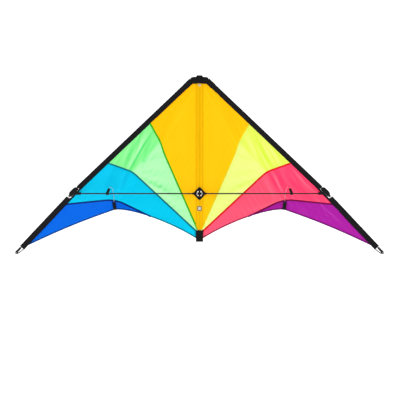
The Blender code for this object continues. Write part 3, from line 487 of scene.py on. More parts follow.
def face_outwards(mesh, merge=0.0):
    """Turns the faces outwards, after merging points that are closer than merge."""
    bm = bmesh.new()
    bm.from_mesh(mesh)
    if merge:
        bmesh.ops.remove_doubles(bm, verts=bm.verts, dist=merge)
    bmesh.ops.recalc_face_normals(bm, faces=bm.faces)
    bm.to_mesh(mesh)
    bm.free()


def sheet_mesh(name, points, uv, thickness, trim=None):
    """A closed thin sheet. points (rows, columns, 3) is its front, and it thickens backwards."""
    rows, columns = points.shape[:2]
    along = np.gradient(points, axis=0)
    across = np.gradient(points, axis=1)
    normal = np.cross(along, across)
    normal /= np.maximum(np.linalg.norm(normal, axis=2, keepdims=True), 1e-12)
    normal *= np.where(normal[..., 1:2] < 0, 1.0, -1.0)
    back = points - normal * thickness
    vertices = np.concatenate([points.reshape(-1, 3), back.reshape(-1, 3)])
    grid = np.arange(rows * columns).reshape(rows, columns)
    a, b, c, d = grid[:-1, :-1], grid[1:, :-1], grid[1:, 1:], grid[:-1, 1:]
    faces = np.stack([a, b, c, d], axis=-1).reshape(-1, 4)
    if trim is not None:
        faces = faces[trim(points.reshape(-1, 3)[faces].mean(axis=1))]
    cross = np.cross(
        vertices[faces[:, 1]] - vertices[faces[:, 0]], vertices[faces[:, 2]] - vertices[faces[:, 0]]
    )
    flip = cross[:, 1].sum() > 0
    faces = faces[:, ::-1] if flip else faces
    edges = np.concatenate([faces[:, [i, (i + 1) % 4]] for i in range(4)])
    known = set(map(tuple, edges))
    rim = [(i, j) for i, j in map(tuple, edges) if (j, i) not in known]
    shift = rows * columns
    sides = [(j, i, i + shift, j + shift) for i, j in rim]
    everything = [tuple(f) for f in faces] + [tuple(f[::-1] + shift) for f in faces] + sides
    mesh = bpy.data.meshes.new(name)
    mesh.from_pydata(vertices.tolist(), [], [tuple(int(i) for i in f) for f in everything])
    mesh.update()
    layer = mesh.uv_layers.new(name="UVMap")
    flat_uv = np.tile(uv.reshape(-1, 2), (2, 1))
    corner = np.zeros(len(mesh.loops), dtype=np.int32)
    mesh.loops.foreach_get("vertex_index", corner)
    layer.data.foreach_set("uv", flat_uv[corner].astype(np.float32).ravel())
    bm = bmesh.new()
    bm.from_mesh(mesh)
    loose = [v for v in bm.verts if not v.link_faces]
    bmesh.ops.delete(bm, geom=loose, context="VERTS")
    bm.to_mesh(mesh)
    bm.free()
    return mesh


def sweep_mesh(name, rings, closed_ends=True):
    """A closed solid through rings of points, with UVs round and along it in metres.

    With closed_ends the first and last ring are filled; without, the last ring is joined to the first.
    """
    rings = np.asarray(rings, dtype=float)
    count, sides = rings.shape[:2]
    vertices = rings.reshape(-1, 3)
    faces = []
    for k in range(count - 1):
        for i in range(sides):
            j = (i + 1) % sides
            faces.append((k * sides + i, k * sides + j, (k + 1) * sides + j, (k + 1) * sides + i))
    last = (count - 1) * sides
    if closed_ends:
        faces.append(tuple(range(sides - 1, -1, -1)))
        faces.append(tuple(last + i for i in range(sides)))
    else:
        for i in range(sides):
            j = (i + 1) % sides
            faces.append((last + i, last + j, j, i))
    mesh = bpy.data.meshes.new(name)
    mesh.from_pydata(vertices.tolist(), [], faces)
    face_outwards(mesh)
    middle = rings.mean(axis=1)
    along = np.concatenate([[0], np.cumsum(np.linalg.norm(np.diff(middle, axis=0), axis=1))])
    girth = np.linalg.norm(np.roll(rings[0], -1, axis=0) - rings[0], axis=1).sum()
    layer = mesh.uv_layers.new(name="UVMap")
    for loop in mesh.loops:
        k, i = divmod(loop.vertex_index, sides)
        layer.data[loop.index].uv = (girth * i / sides, along[k])
    return mesh


def ring_round(centre, direction, radius, sides):
    direction = direction.normalized()
    side = direction.cross(Vector((0, 1, 0)))
    if side.length < 0.1:
        side = direction.cross(Vector((0, 0, 1)))
    side.normalize()
    up = side.cross(direction)
    return [
        centre
        + side * radius * math.cos(2 * math.pi * i / sides)
        + up * radius * math.sin(2 * math.pi * i / sides)
        for i in range(sides)
    ]


def tube_mesh(name, points, radius, sides):
    """A round tube along points, with rounded-off ends."""
    rings = []
    last = len(points) - 1
    for i, point in enumerate(points):
        lead = points[min(i + 1, last)] - points[max(i - 1, 0)]
        if i == 0:
            rings.append(ring_round(point, lead, radius * 0.80, sides))
            point = point + lead.normalized() * radius * 0.18
        if i == last:
            lead = points[last] - points[last - 1]
            inner = point - lead.normalized() * radius * 0.18
            rings.append(ring_round(inner, lead, radius, sides))
            rings.append(ring_round(point, lead, radius * 0.80, sides))
            continue
        rings.append(ring_round(point, lead, radius, sides))
    return sweep_mesh(name, [[tuple(p) for p in ring] for ring in rings])


def smooth_route(points, steps):
    """A Catmull-Rom curve through the points."""
    ends = [points[0] * 2 - points[1], *points, points[-1] * 2 - points[-2]]
    route = []
    for a, b, c, d in zip(ends, ends[1:], ends[2:], ends[3:]):
        for i in range(steps):
            t = i / steps
            square, cube = 2 * a - 5 * b + 4 * c - d, 3 * b - a - 3 * c + d
            route.append(0.5 * (2 * b + (c - a) * t + square * t**2 + cube * t**3))
    return [*route, points[-1].copy()]


# The leading edge.


def rod_point(along):
    """Place and heading of the leading-edge rod, in X and Z, at a length from the nose pivot."""
    bow = (UPPER_HEADING - LOWER_HEADING) / (BOW_END - BOW_START)
    start = NOSE_PIVOT + Vector((math.sin(UPPER_HEADING), -math.cos(UPPER_HEADING))) * min(along, BOW_START)
    if along <= BOW_START:
        return start, UPPER_HEADING
    turned = bow * (min(along, BOW_END) - BOW_START)
    heading = UPPER_HEADING - turned
    arc = Vector(
        (
            (math.cos(heading) - math.cos(UPPER_HEADING)) / bow,
            -(math.sin(UPPER_HEADING) - math.sin(heading)) / bow,
        )
    )
    straight = Vector((math.sin(heading), -math.cos(heading))) * max(along - BOW_END, 0.0)
    return start + arc + straight, heading


def beside_rod(along, inwards, depth=0.0, side=1):
    place, heading = rod_point(along)
    point = place + Vector((-math.cos(heading), -math.sin(heading))) * inwards
    return Vector((side * point.x, SAIL_Y + depth, point.y))


def edge_inset(along):
    """How far inside the rod the sail disappears into the sleeve's seam."""
    t = min(max((along - 0.575) / 0.020, 0.0), 1.0)
    return SLEEVE_IN_UPPER - 0.0010 + (SLEEVE_IN_LOWER - SLEEVE_IN_UPPER) * t


def edge_point(along):
    point = beside_rod(along, edge_inset(along))
    return Vector((point.x, point.z))


EDGE_LINE = np.array([tuple(edge_point(0.9 * i / 900)) for i in range(901)])


def nearest(points, line):
    """Distance from points (n, 2) to the nearest of a line's points, worked out a part at a time."""
    found = np.empty(len(points))
    part = 4000
    for start in range(0, len(points), part):
        gap = points[start : start + part, None, :] - line[None, :, :]
        found[start : start + part] = np.sqrt((gap**2).sum(axis=2)).min(axis=1)
    return found


# The sail.


SAIL_TOP = NOSE_PIVOT.y - 0.0138 / math.sin(UPPER_HEADING) + NOSE_PIVOT.x / math.tan(UPPER_HEADING)


def flight_depth(x, z):
    """Depth of the sail behind the leading edges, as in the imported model: a rounded ridge from the nose."""
    down = np.maximum(SAIL_TOP - z, 1e-6)
    reach = np.hypot(x, down)
    angle = np.arctan2(np.abs(x), down)
    edge = UPPER_HEADING - math.radians(1.2) * np.clip((reach - 0.600) / 0.250, 0.0, 1.0)
    flat = math.hypot(RIDGE_ANGLE, SPINE_FLAT) - SPINE_FLAT
    inner = (np.hypot(angle, SPINE_FLAT) - SPINE_FLAT) / flat
    outer = (edge - angle) / (edge - RIDGE_ANGLE)
    tent = 0.5 * (inner + outer - np.hypot(inner - outer, RIDGE_ROUNDING))
    past = reach - RIDGE_START
    run = 0.5 * (past + np.hypot(past, RIDGE_EASE))
    return np.maximum(0.0, run * RIDGE_RISE * tent)


def depth_at(x, z):
    return float(flight_depth(np.array(abs(x)), np.array(z)))


# Creases: start and end in X and Z on the right wing, half width, height, and which wings have it.
CREASES = (
    ((0.171, 0.214), (0.247, 0.084), 0.0036, -0.0030, "left"),
    ((0.214, 0.186), (0.238, 0.104), 0.0040, -0.0012, "left"),
    ((0.236, 0.168), (0.262, 0.104), 0.0050, -0.0014, "left"),
    ((0.196, 0.200), (0.250, 0.100), 0.0050, 0.0012, "left"),
    ((0.180, 0.175), (0.205, 0.090), 0.0080, -0.0010, "left"),
    ((0.256, 0.074), (0.280, 0.016), 0.0050, -0.0018, "left"),
    ((0.300, 0.080), (0.330, 0.020), 0.0100, -0.0012, "left"),
    ((0.270, 0.060), (0.296, -0.025), 0.0070, 0.0010, "left"),
    ((0.205, 0.185), (0.262, 0.088), 0.0060, -0.0016, "right"),
    ((0.190, 0.200), (0.243, 0.096), 0.0045, 0.0016, "right"),
    ((0.236, 0.176), (0.290, 0.100), 0.0050, 0.0014, "right"),
    ((0.165, 0.215), (0.205, 0.120), 0.0080, 0.0014, "right"),
    ((0.246, 0.072), (0.286, 0.000), 0.0050, -0.0018, "right"),
    ((0.262, 0.074), (0.296, 0.006), 0.0038, 0.0020, "right"),
    ((0.278, 0.080), (0.312, 0.010), 0.0050, -0.0014, "right"),
    ((0.232, 0.058), (0.262, -0.010), 0.0060, 0.0014, "right"),
    ((0.336, 0.076), (0.412, 0.004), 0.0034, 0.0020, "right"),
    ((0.330, 0.040), (0.396, -0.016), 0.0070, -0.0010, "right"),
    ((0.420, -0.026), (0.500, -0.104), 0.0040, 0.0016, "right"),
    ((0.226, 0.070), (0.110, 0.040), 0.0090, 0.0008, "both"),
    ((0.222, 0.060), (0.090, 0.000), 0.0080, -0.0008, "both"),
    ((0.214, 0.052), (0.075, -0.040), 0.0085, 0.0008, "both"),
    ((0.205, 0.090), (0.125, 0.090), 0.0080, 0.0006, "both"),
    ((0.190, 0.120), (0.130, 0.135), 0.0075, -0.0006, "both"),
    ((0.290, -0.030), (0.170, -0.060), 0.0070, 0.0006, "both"),
    ((0.060, 0.330), (0.100, 0.215), 0.0100, 0.0004, "both"),
    ((0.034, 0.300), (0.046, 0.090), 0.0100, -0.0004, "both"),
    ((0.060, 0.200), (0.040, 0.020), 0.0110, 0.0004, "both"),
)


def crease_depth(x, z, word):
    """Tension creases in the cloth, as soft grooves and folds."""
    total = np.zeros_like(x)
    for start, end, width, height, where in CREASES:
        if where not in (word, "both"):
            continue
        a, b = np.array(start), np.array(end)
        length = np.linalg.norm(b - a)
        lead = (b - a) / length
        t = ((x - a[0]) * lead[0] + (z - a[1]) * lead[1]) / length
        off = -(x - a[0]) * lead[1] + (z - a[1]) * lead[0]
        ends = np.exp(-((np.maximum(np.maximum(-t, t - 1), 0) * length / 0.020) ** 2))
        swell = ends * (0.45 + 0.55 * np.sin(np.clip(t, 0, 1) * math.pi))
        bend = off + 0.0015 * np.sin(t * 4.0 + start[0] * 90)
        crest = np.exp(-((bend / width) ** 2))
        trough = 0.45 * np.exp(-(((bend - 2.1 * width) / (1.5 * width)) ** 2))
        total += height * swell * (crest - trough)
    return total


def pucker_depth(x, z, to_edge, to_seam, word):
    """Small gathers that run out from the sleeve's seam and from the sewn seams."""
    shift = 1.7 if word == "left" else 0.4
    along_edge = (x * math.sin(UPPER_HEADING) - z * math.cos(UPPER_HEADING)) * 2 * math.pi
    near_edge = np.exp(-to_edge / 0.020) * (1 - np.exp(-to_edge / 0.003))
    gathers = np.sin(along_edge / 0.031 + shift) + 0.6 * np.sin(along_edge / 0.0177 + 2.3 * shift)
    near_seam = np.exp(-to_seam / 0.007)
    ticks = np.sin((x * 0.8 - z * 0.6) * 2 * math.pi / 0.0125 + shift)
    ticks += 0.5 * np.sin((x * 0.5 + z * 0.9) * 2 * math.pi / 0.0090)
    slow = np.sin(x * 37 + z * 23 + shift) * np.sin(z * 41 - x * 19 + 2 * shift)
    calm = 1 - np.exp(-((x / 0.045) ** 2))
    return (0.00045 * gathers * near_edge + 0.00016 * ticks * near_seam + 0.0007 * slow) * calm


def trail_point(t, inset):
    """The trailing edge moved up by inset: t is 0 at the tip, 1 at the pocket and 2 at the tail."""
    if t <= 1:
        tip = edge_point(TIP_AT_EDGE)
        along = TRAIL_POCKET - tip
        place = tip.lerp(TRAIL_POCKET, t) + Vector((0, TRAIL_RISE * math.sin(math.pi * t)))
    else:
        a, b, c, d = (TRAIL_POCKET, *TRAIL_CURVE)
        t -= 1
        place = a * (1 - t) ** 3 + b * 3 * t * (1 - t) ** 2 + c * 3 * t * t * (1 - t) + d * t**3
        along = (b - a) * (1 - t) ** 2 + (c - b) * 2 * t * (1 - t) + (d - c) * t * t
    along = along.normalized()
    return place + Vector((along.y, -along.x)) * inset


def rounded_corner(start, corner, end, cut_back):
    """A path from start to end past the corner, which is rounded off over cut_back."""
    count = 13
    first = corner + (start - corner).normalized() * cut_back
    last = corner + (end - corner).normalized() * cut_back
    points = [start]
    for i in range(count):
        t = i / (count - 1)
        points.append(first * (1 - t) ** 2 + corner * 2 * t * (1 - t) + last * t * t)
    return points + [end]


def resample(points, count):
    """The path cut into count steps of equal length."""
    lengths = [0.0]
    for a, b in zip(points, points[1:]):
        lengths.append(lengths[-1] + (b - a).length)
    found = []
    k = 0
    for i in range(count + 1):
        wanted = lengths[-1] * i / count
        while k < len(points) - 2 and lengths[k + 1] < wanted:
            k += 1
        span = lengths[k + 1] - lengths[k]
        found.append(points[k].lerp(points[k + 1], (wanted - lengths[k]) / span))
    return found


def seam_line(number):
    """A seam's path: from the leading edge over the ridge to the tail or the trailing edge."""
    start = edge_point(SEAM_AT_EDGE[number])
    end = SEAM_END[number] if number < 2 else trail_point(TRAIL_JOIN, 0.0012)
    bend = SEAM_BEND if number == 0 else end
    path = rounded_corner(start, SEAM_RIDGE[number], bend, SEAM_CORNER[number])
    middle = len(path) // 2
    path += [end] if number == 0 else []
    outboard = resample(path[: middle + 1], OUTBOARD_STEPS)
    return outboard + resample(path[middle:], INBOARD_STEPS)[1:]


def trailing_line():
    """The tip panel's lower edge."""
    outboard = [trail_point(i / OUTBOARD_STEPS, 0.0) for i in range(OUTBOARD_STEPS + 1)]
    outboard[0] = trail_point(TRAIL_START, 0.0)
    step = (TRAIL_JOIN - 1) / INBOARD_STEPS
    return outboard + [trail_point(1 + step * i, 0.0) for i in range(1, INBOARD_STEPS + 1)]


def centre_line():
    """The inner panel's inner edge, hidden behind the centre strip."""
    top = Vector((0.0, SAIL_TOP - 0.001))
    bottom = Vector((0.0, SEAM_END[0].y))
    steps = OUTBOARD_STEPS + INBOARD_STEPS
    return [top.lerp(bottom, i / steps) for i in range(steps + 1)]


SEAMS = [seam_line(number) for number in range(3)]
SEAM_POINTS = np.array([tuple(p) for seam in SEAMS for p in seam])


def on_sail(flat_points, word):
    """Points (..., 2) on the right wing's plan, set on the sail of the wing named by word."""
    points = np.asarray(flat_points, dtype=float)
    shape = points.shape[:-1]
    x, z = points.reshape(-1, 2).T
    x = np.maximum(x, 0.0)
    to_edge = nearest(np.stack([x, z], axis=1), EDGE_LINE)
    to_seam = nearest(np.stack([x, z], axis=1), SEAM_POINTS)
    at_edge = 1 - np.exp(-((to_edge / 0.012) ** 2))
    depth = flight_depth(x, z)
    depth = depth + crease_depth(x, z, word) * at_edge + pucker_depth(x, z, to_edge, to_seam, word)
    made = np.stack([SIDES[word] * x, SAIL_Y + depth, z], axis=1)
    return made.reshape(*shape, 3)


def fan_weight(points):
    """How much of its wing's turn each point follows: none at the spine, all at the leading edge."""
    x = np.abs(points[:, 0])
    inboard = np.maximum(x - STRIP_HALF_WIDTH, 0.0)
    outboard = nearest(np.stack([x, points[:, 2]], axis=1), EDGE_LINE)
    past_edge = x > np.interp(-points[:, 2], -EDGE_LINE[:, 1], EDGE_LINE[:, 0])
    outboard[past_edge] = 0.0
    return inboard / np.maximum(inboard + outboard, 1e-9)


def follow_fan(piece, rigid=False):
    """Bakes the piece's place into its mesh and works out how much of its wing's turn each point would
    follow; nothing uses these weights, and rigid gives every point the mean.
    """
    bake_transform(piece)
    count = len(piece.data.vertices)
    points = np.empty(count * 3)
    piece.data.vertices.foreach_get("co", points)
    weight = fan_weight(points.reshape(-1, 3))
    if rigid:
        weight[:] = weight.mean()


def patch(upper, lower, outer, inner):
    """Coons patch between two lines along the sail and two across it, as (rows, columns, 2)."""
    lines = (upper, lower, outer, inner)
    upper, lower, outer, inner = (np.array([tuple(p) for p in line]) for line in lines)
    u = np.linspace(0, 1, len(upper))[:, None, None]
    v = np.linspace(0, 1, len(outer))[None, :, None]
    ruled = upper[:, None] * (1 - v) + lower[:, None] * v + outer[None] * (1 - u) + inner[None] * u
    ends = (upper[0] * (1 - v) + lower[0] * v) * (1 - u) + (upper[-1] * (1 - v) + lower[-1] * v) * u
    return ruled - ends


def panel_plan(number):
    """A panel's plan (rows, columns, 2): rows run along its seams and columns across it."""
    lines = [centre_line(), *SEAMS, trailing_line()]
    marks = (0.0, *SEAM_AT_EDGE, PANEL_TIP_AT_EDGE)
    upper, lower = lines[number], lines[number + 1]
    start, end = marks[number], marks[number + 1]
    outer = [edge_point(start + (end - start) * j / ACROSS_STEPS) for j in range(ACROSS_STEPS + 1)]
    outer[0], outer[-1] = upper[0], lower[0]
    inner = [upper[-1].lerp(lower[-1], j / ACROSS_STEPS) for j in range(ACROSS_STEPS + 1)]
    if number == 2:
        drop = 5
        corner = trail_point(2, 0.0)
        inner = [upper[-1].lerp(corner, j / drop) for j in range(drop)]
        steps = ACROSS_STEPS - drop
        inner += [trail_point(2 - (2 - TRAIL_JOIN) * j / steps, 0.0) for j in range(steps)]
        inner.append(lower[-1])
    return patch(upper, lower, outer, inner)


RIDGE_LINE = np.array(
    [(0.0, SAIL_TOP), *map(tuple, SEAM_RIDGE), tuple(TRAIL_POCKET), (TRAIL_POCKET.x, -0.2)]
)


def streaks(x, z, word):
    """Painted shade and highlight streaks, as of fine folds that run down and outwards from the leading edge,
    -1 to 1; they are only painted, not in the sail's shape.
    """
    shift = 0.9 if word == "left" else 2.6
    across, along = 0.866 * x + 0.5 * z, 0.5 * x - 0.866 * z
    total = np.zeros_like(x)
    for number, (pitch, reach) in enumerate(((0.0073, 0.085), (0.0118, 0.128), (0.0192, 0.171))):
        sway = 0.8 * np.sin(along * 2 * math.pi / 0.19 + number + shift)
        wave = np.sin(across * 2 * math.pi / pitch + sway + shift * (number + 1))
        total += wave * (0.5 + 0.5 * np.sin(along * 2 * math.pi / reach + across * 31 + shift * number)) / 3
    return total


def mark_painted_light(mesh, word):
    """Stores, for the cloth's painted light, which side of the ridge a point is on, for a paler painted sheen
    inboard, and how far it is in a fold or on one, for painted shade and a painted highlight.
    """
    points = np.empty(3 * len(mesh.vertices))
    mesh.vertices.foreach_get("co", points)
    points = points.reshape(-1, 3)
    x, z = np.abs(points[:, 0]), points[:, 2]
    ridge = np.interp(-z, -RIDGE_LINE[:, 1], RIDGE_LINE[:, 0])
    # inboard sets the paler painted sheen; the fold value below is painted shade above 0 and a painted
    # highlight below 0.
    inboard = 0.5 + 0.5 * np.tanh((ridge - x) / 0.0035)
    fold_shading = np.clip(-crease_depth(x, z, word) / 0.0026 + 0.45 * streaks(x, z, word), -1, 1)
    for name, values in (("inboard", inboard), ("fold_shading", fold_shading)):
        mesh.attributes.new(name, "FLOAT", "POINT").data.foreach_set("value", values.astype(np.float32))


def make_panel(word, number, materials):
    plan = panel_plan(number)
    points = on_sail(plan, word)
    heading = (0.0, 0.35, 0.62, 0.80)[number] * SIDES[word]
    turn = np.array([[math.cos(heading), -math.sin(heading)], [math.sin(heading), math.cos(heading)]])
    uv = plan @ turn
    trim = None
    if number == 0:
        trim = lambda middles: np.hypot(middles[:, 0], middles[:, 2]) > HOLE_RADIUS - 0.0008
    mesh = sheet_mesh(f"sail_{number + 1}_{word}", points, uv, CLOTH, trim=trim)
    mark_painted_light(mesh, word)
    piece = new_object(f"sail_{number + 1}_{word}", mesh, materials[CLOTH_SLOTS[word][number]])
    follow_fan(piece)
    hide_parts(f"panel_{number + 1}_{word}")


def ribbon(plan_line, half_width, steps=4):
    """A strip of plan points (rows, columns, 2) along a line."""
    line = np.array([tuple(p) for p in plan_line])
    lead = np.gradient(line, axis=0)
    lead /= np.linalg.norm(lead, axis=1, keepdims=True)
    square = np.stack([-lead[:, 1], lead[:, 0]], axis=1)
    offsets = np.linspace(-half_width, half_width, steps + 1)
    return line[:, None] + square[:, None] * offsets[None, :, None]


def inside_edge(plan):
    """Keeps a strip's end from running out past the sleeve's seam."""
    limit = np.interp(-plan[..., 1], -EDGE_LINE[:, 1], EDGE_LINE[:, 0])
    made = plan.copy()
    made[..., 0] = np.clip(made[..., 0], 0.0, limit)
    return made


def make_seam(word, number, material, thread):
    """The seam's folded allowance in front of the sail, with two rows of stitches."""
    line = SEAMS[number]
    plan = inside_edge(ribbon(line, SEAM_WIDTH / 2))
    points = on_sail(plan, word)
    crown = np.array([0.0, 0.7, 1.0, 0.7, 0.0]) * 0.00012
    points[..., 1] -= LAYER + crown[None, :]
    mesh = sheet_mesh(f"seam_{number + 1}_{word}", points, plan, LAYER)
    piece = new_object(f"seam_{number + 1}_{word}", mesh, material)
    follow_fan(piece)
    rows = [ribbon(line, 0.0013, 1)[:, i] for i in range(2)]
    stitches = make_stitches(f"seam_stitches_{number + 1}_{word}", rows, word, thread, 2 * LAYER)


def even_places(line, pitch):
    """Points every pitch along a line, from one pitch in at each end."""
    line = np.asarray(line, dtype=float)
    lengths = np.concatenate([[0], np.cumsum(np.linalg.norm(np.diff(line, axis=0), axis=1))])
    marks = np.arange(pitch, lengths[-1] - pitch, pitch)
    return np.stack([np.interp(marks, lengths, line[:, i]) for i in range(line.shape[1])], axis=1)


def stitch_rings(start, end, out, radius):
    """The four-sided rings of one stitch that dips into the cloth at both ends."""
    lead = (end - start).normalized()
    side = lead.cross(out).normalized()
    rings = []
    for t, lift, size in ((0.0, -0.4, 0.5), (0.25, 0.7, 1.0), (0.75, 0.7, 1.0), (1.0, -0.4, 0.5)):
        centre = start.lerp(end, t) + out * radius * lift
        r = radius * size
        rings.append([centre + side * r, centre + out * r, centre - side * r, centre - out * r])
    return rings


def stitches_mesh(name, pairs, radius=THREAD):
    """One mesh of many stitches; pairs is [(start, end, outward direction)]."""
    vertices, faces = [], []
    for start, end, out in pairs:
        base = len(vertices)
        rings = stitch_rings(start, end, out, radius)
        for ring in rings:
            vertices += [tuple(p) for p in ring]
        for k in range(len(rings) - 1):
            for i in range(4):
                j = (i + 1) % 4
                near, far = base + k * 4, base + k * 4 + 4
                faces.append((near + i, near + j, far + j, far + i))
        faces.append((base + 3, base + 2, base + 1, base))
        last = base + 4 * (len(rings) - 1)
        faces.append((last, last + 1, last + 2, last + 3))
    mesh = bpy.data.meshes.new(name)
    mesh.from_pydata(vertices, [], faces)
    face_outwards(mesh)
    return mesh


def make_stitches(name, rows, word, thread, lift):
    """Rows of running stitches along plan lines, on both faces of the sail."""
    pairs = []
    for row in rows:
        places = even_places(row, STITCH_PITCH)
        if len(places) < 2:
            continue
        lead = np.gradient(places, axis=0)
        lead /= np.linalg.norm(lead, axis=1, keepdims=True)
        starts = on_sail(inside_edge(places - lead * STITCH / 2), word)
        ends = on_sail(inside_edge(places + lead * STITCH / 2), word)
        for a, b in zip(starts, ends):
            front, back = Vector((0, -lift, 0)), Vector((0, CLOTH, 0))
            pairs.append((Vector(a) + front, Vector(b) + front, Vector((0, -1, 0))))
            pairs.append((Vector(a) + back, Vector(b) + back, Vector((0, 1, 0))))
    piece = new_object(name, stitches_mesh(name, pairs), thread)
    follow_fan(piece)
    return piece


def make_hem(word, materials, thread):
    """The trailing edge folded over twice, in the colour of each panel that it belongs to."""
    spans = {3: (TRAIL_START, TRAIL_JOIN), 2: (TRAIL_JOIN, 2.0)}
    for number, (start, end) in spans.items():
        steps = 150 if number == 3 else 70
        places = [start + (end - start) * i / steps for i in range(steps + 1)]
        columns = [HEM_WIDTH * j / 4 for j in range(5)]
        plan = np.array([[tuple(trail_point(t, inset)) for inset in columns] for t in places])
        points = on_sail(inside_edge(plan), word)
        crown = np.array([0.2, 1.0, 1.0, 1.0, 0.3]) * 0.00018
        points[..., 1] -= LAYER + crown[None, :]
        name = f"hem_{number + 1}_{word}"
        cloth = materials[f"hem_{CLOTH_SLOTS[word][number]}"]
        piece = new_object(name, sheet_mesh(name, points, plan, 2 * LAYER), cloth)
        follow_fan(piece)
        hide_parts(f"hem_{word}")
        row = [[tuple(trail_point(t, HEM_WIDTH * 0.78)) for t in places]]
        stitches = make_stitches(f"hem_stitches_{number + 1}_{word}", row, word, thread, 2 * LAYER + 0.0001)


def strip_half_width(z):
    """The centre strip narrows just above the tail."""
    t = np.clip((STRIP_TAPER[0] - z) / (STRIP_TAPER[0] - STRIP_TAPER[1]), 0, 1)
    return STRIP_HALF_WIDTH + (STRIP_END_HALF_WIDTH - STRIP_HALF_WIDTH) * t


def make_centre_strip(material, thread):
    """The double band down the middle, with two rows of stitches on each side of the spine."""
    shares = np.linspace(-1, 1, 27)
    levels = np.linspace(STRIP_TOP, STRIP_BOTTOM, 280)
    share, z = np.meshgrid(shares, levels)
    x = share * strip_half_width(z)
    plan = np.stack([x, z], axis=-1)
    depth = flight_depth(np.abs(x), z)
    wander = 0.00022 * np.sin(z * 2 * math.pi / 0.043) * np.sin(x * 2 * math.pi / 0.020)
    edge = np.exp(-(((np.abs(share) - 1) * STRIP_HALF_WIDTH / 0.0016) ** 2)) * 0.00012
    tunnel = -0.00035 * np.exp(-((x / 0.0032) ** 2))
    points = np.stack([x, SAIL_Y + depth - 0.00062 + wander + edge + tunnel, z], axis=-1)
    outside_hole = lambda middles: np.hypot(middles[:, 0], middles[:, 2]) > HOLE_RADIUS - 0.0003
    mesh = sheet_mesh("centre_band", points, plan, 2 * LAYER, trim=outside_hole)
    band = new_object("centre_band", mesh, material)
    fit(band, "frame", "centre_strip")
    pairs = []
    for column in (-STRIP_HALF_WIDTH + 0.0016, STRIP_HALF_WIDTH - 0.0016, -0.0042, 0.0042):
        marks = np.arange(-0.147, 0.390, STITCH_PITCH)
        for mark in marks:
            if math.hypot(column, mark) < PATCH_HALF_HEIGHT - abs(column):
                continue
            if abs(column) > strip_half_width(mark) - 0.001:
                continue
            ends = []
            for shift in (-STITCH / 2, STITCH / 2):
                level = mark + shift
                ends.append(Vector((column, SAIL_Y + depth_at(column, level) - 0.00080, level)))
            pairs.append((ends[0], ends[1], Vector((0, -1, 0))))
    stitches = new_object("centre_band_stitches", stitches_mesh("centre_band_stitches", pairs), thread)
    fit(stitches, "frame")


def make_centre_patch(material, thread):
    """Diamond of heavy cloth round the hole, with its edge turned under and sewn."""
    sides, rings = 64, 14
    points, plan = [], []
    for k in range(rings):
        t = k / (rings - 1)
        row, flat_row = [], []
        for i in range(sides + 1):
            turn = 2 * math.pi * i / sides
            c, s = math.cos(turn), math.sin(turn)
            reach = (abs(c) / PATCH_HALF_WIDTH) ** DIAMOND + (abs(s) / PATCH_HALF_HEIGHT) ** DIAMOND
            outer = 1.0 / reach ** (1 / DIAMOND)
            radius = HOLE_RADIUS - 0.0002 + (outer - HOLE_RADIUS) * t
            x, z = radius * c, radius * s
            turned_under = 0.00025 * math.exp(-(((t - 0.92) / 0.10) ** 2))
            raised = 0.00045 + turned_under + 0.0002 * math.exp(-((t / 0.12) ** 2))
            row.append((x, SAIL_Y + depth_at(x, z) - 0.00115 - raised, z))
            flat_row.append((x, z))
        points.append(row)
        plan.append(flat_row)
    points, plan = np.array(points), np.array(plan)
    mesh = sheet_mesh("diamond", points, plan, 0.0005)
    face_outwards(mesh, merge=1e-5)
    piece = new_object("diamond", mesh, material)
    fit(piece, "frame", "centre_patch")
    pairs = []
    wide, high = PATCH_HALF_WIDTH, PATCH_HALF_HEIGHT
    corners = [Vector(corner) for corner in ((wide, 0), (0, high), (-wide, 0), (0, -high))]
    for a, b in zip(corners, corners[1:] + corners[:1]):
        line = np.array([tuple(a * 0.86), tuple(b * 0.86)])
        for x, z in even_places(line, 0.0028):
            lead = (b - a).normalized() * 0.001
            y = SAIL_Y + depth_at(x, z) - 0.00190
            start, end = Vector((x - lead.x, y, z - lead.y)), Vector((x + lead.x, y, z + lead.y))
            pairs.append((start, end, Vector((0, -1, 0))))
    stitches = new_object("diamond_stitches", stitches_mesh("diamond_stitches", pairs), thread)
    fit(stitches, "frame")


# The wings' fittings.


def sleeve_section(along, side, inwards, deep_scale=1.0, out_extra=0.0):
    """The sleeve's flattened section: round over the rod, pinched to a flat sewn edge."""
    ring = []
    out = SLEEVE_OUT + out_extra
    deep = SLEEVE_HALF_DEPTH * deep_scale + out_extra
    steps = 14
    for i in range(steps + 1):
        turn = math.pi * (i / steps - 0.5)
        ring.append(beside_rod(along, -out * math.cos(turn), deep * math.sin(turn), side))
    taper = []
    for i in range(1, 9):
        t = i / 8
        inward = (inwards + out_extra) * t
        pinch = 0.5 * (1 + math.cos(math.pi * min(1.0, t / 0.72)))
        taper.append((inward, SEWN_HALF_DEPTH + out_extra + (deep - SEWN_HALF_DEPTH - out_extra) * pinch))
    ring += [beside_rod(along, inward, half, side) for inward, half in taper]
    ring += [beside_rod(along, inward, -half, side) for inward, half in reversed(taper)]
    return ring


def hollow_mesh(name, rings, wall):
    """A thin-walled tube: rings outside, then the same rings drawn in by the wall, back to the start."""
    inside = []
    for ring in reversed(rings):
        count = len(ring)
        centre = sum(ring, Vector()) / count
        drawn = []
        for i, point in enumerate(ring):
            along = ring[(i + 1) % count] - ring[i - 1]
            axis = (rings[-1][0] - rings[0][0]).normalized()
            normal = along.cross(axis).normalized()
            if abs(point.y - centre.y) <= 0.0012:
                normal = (centre - point).normalized()
            elif normal.dot(centre - point) < 0:
                normal = -normal
            drawn.append(point + normal * wall)
        inside.append(drawn)
    return sweep_mesh(name, [[tuple(p) for p in ring] for ring in [*rings, *inside]], closed_ends=False)


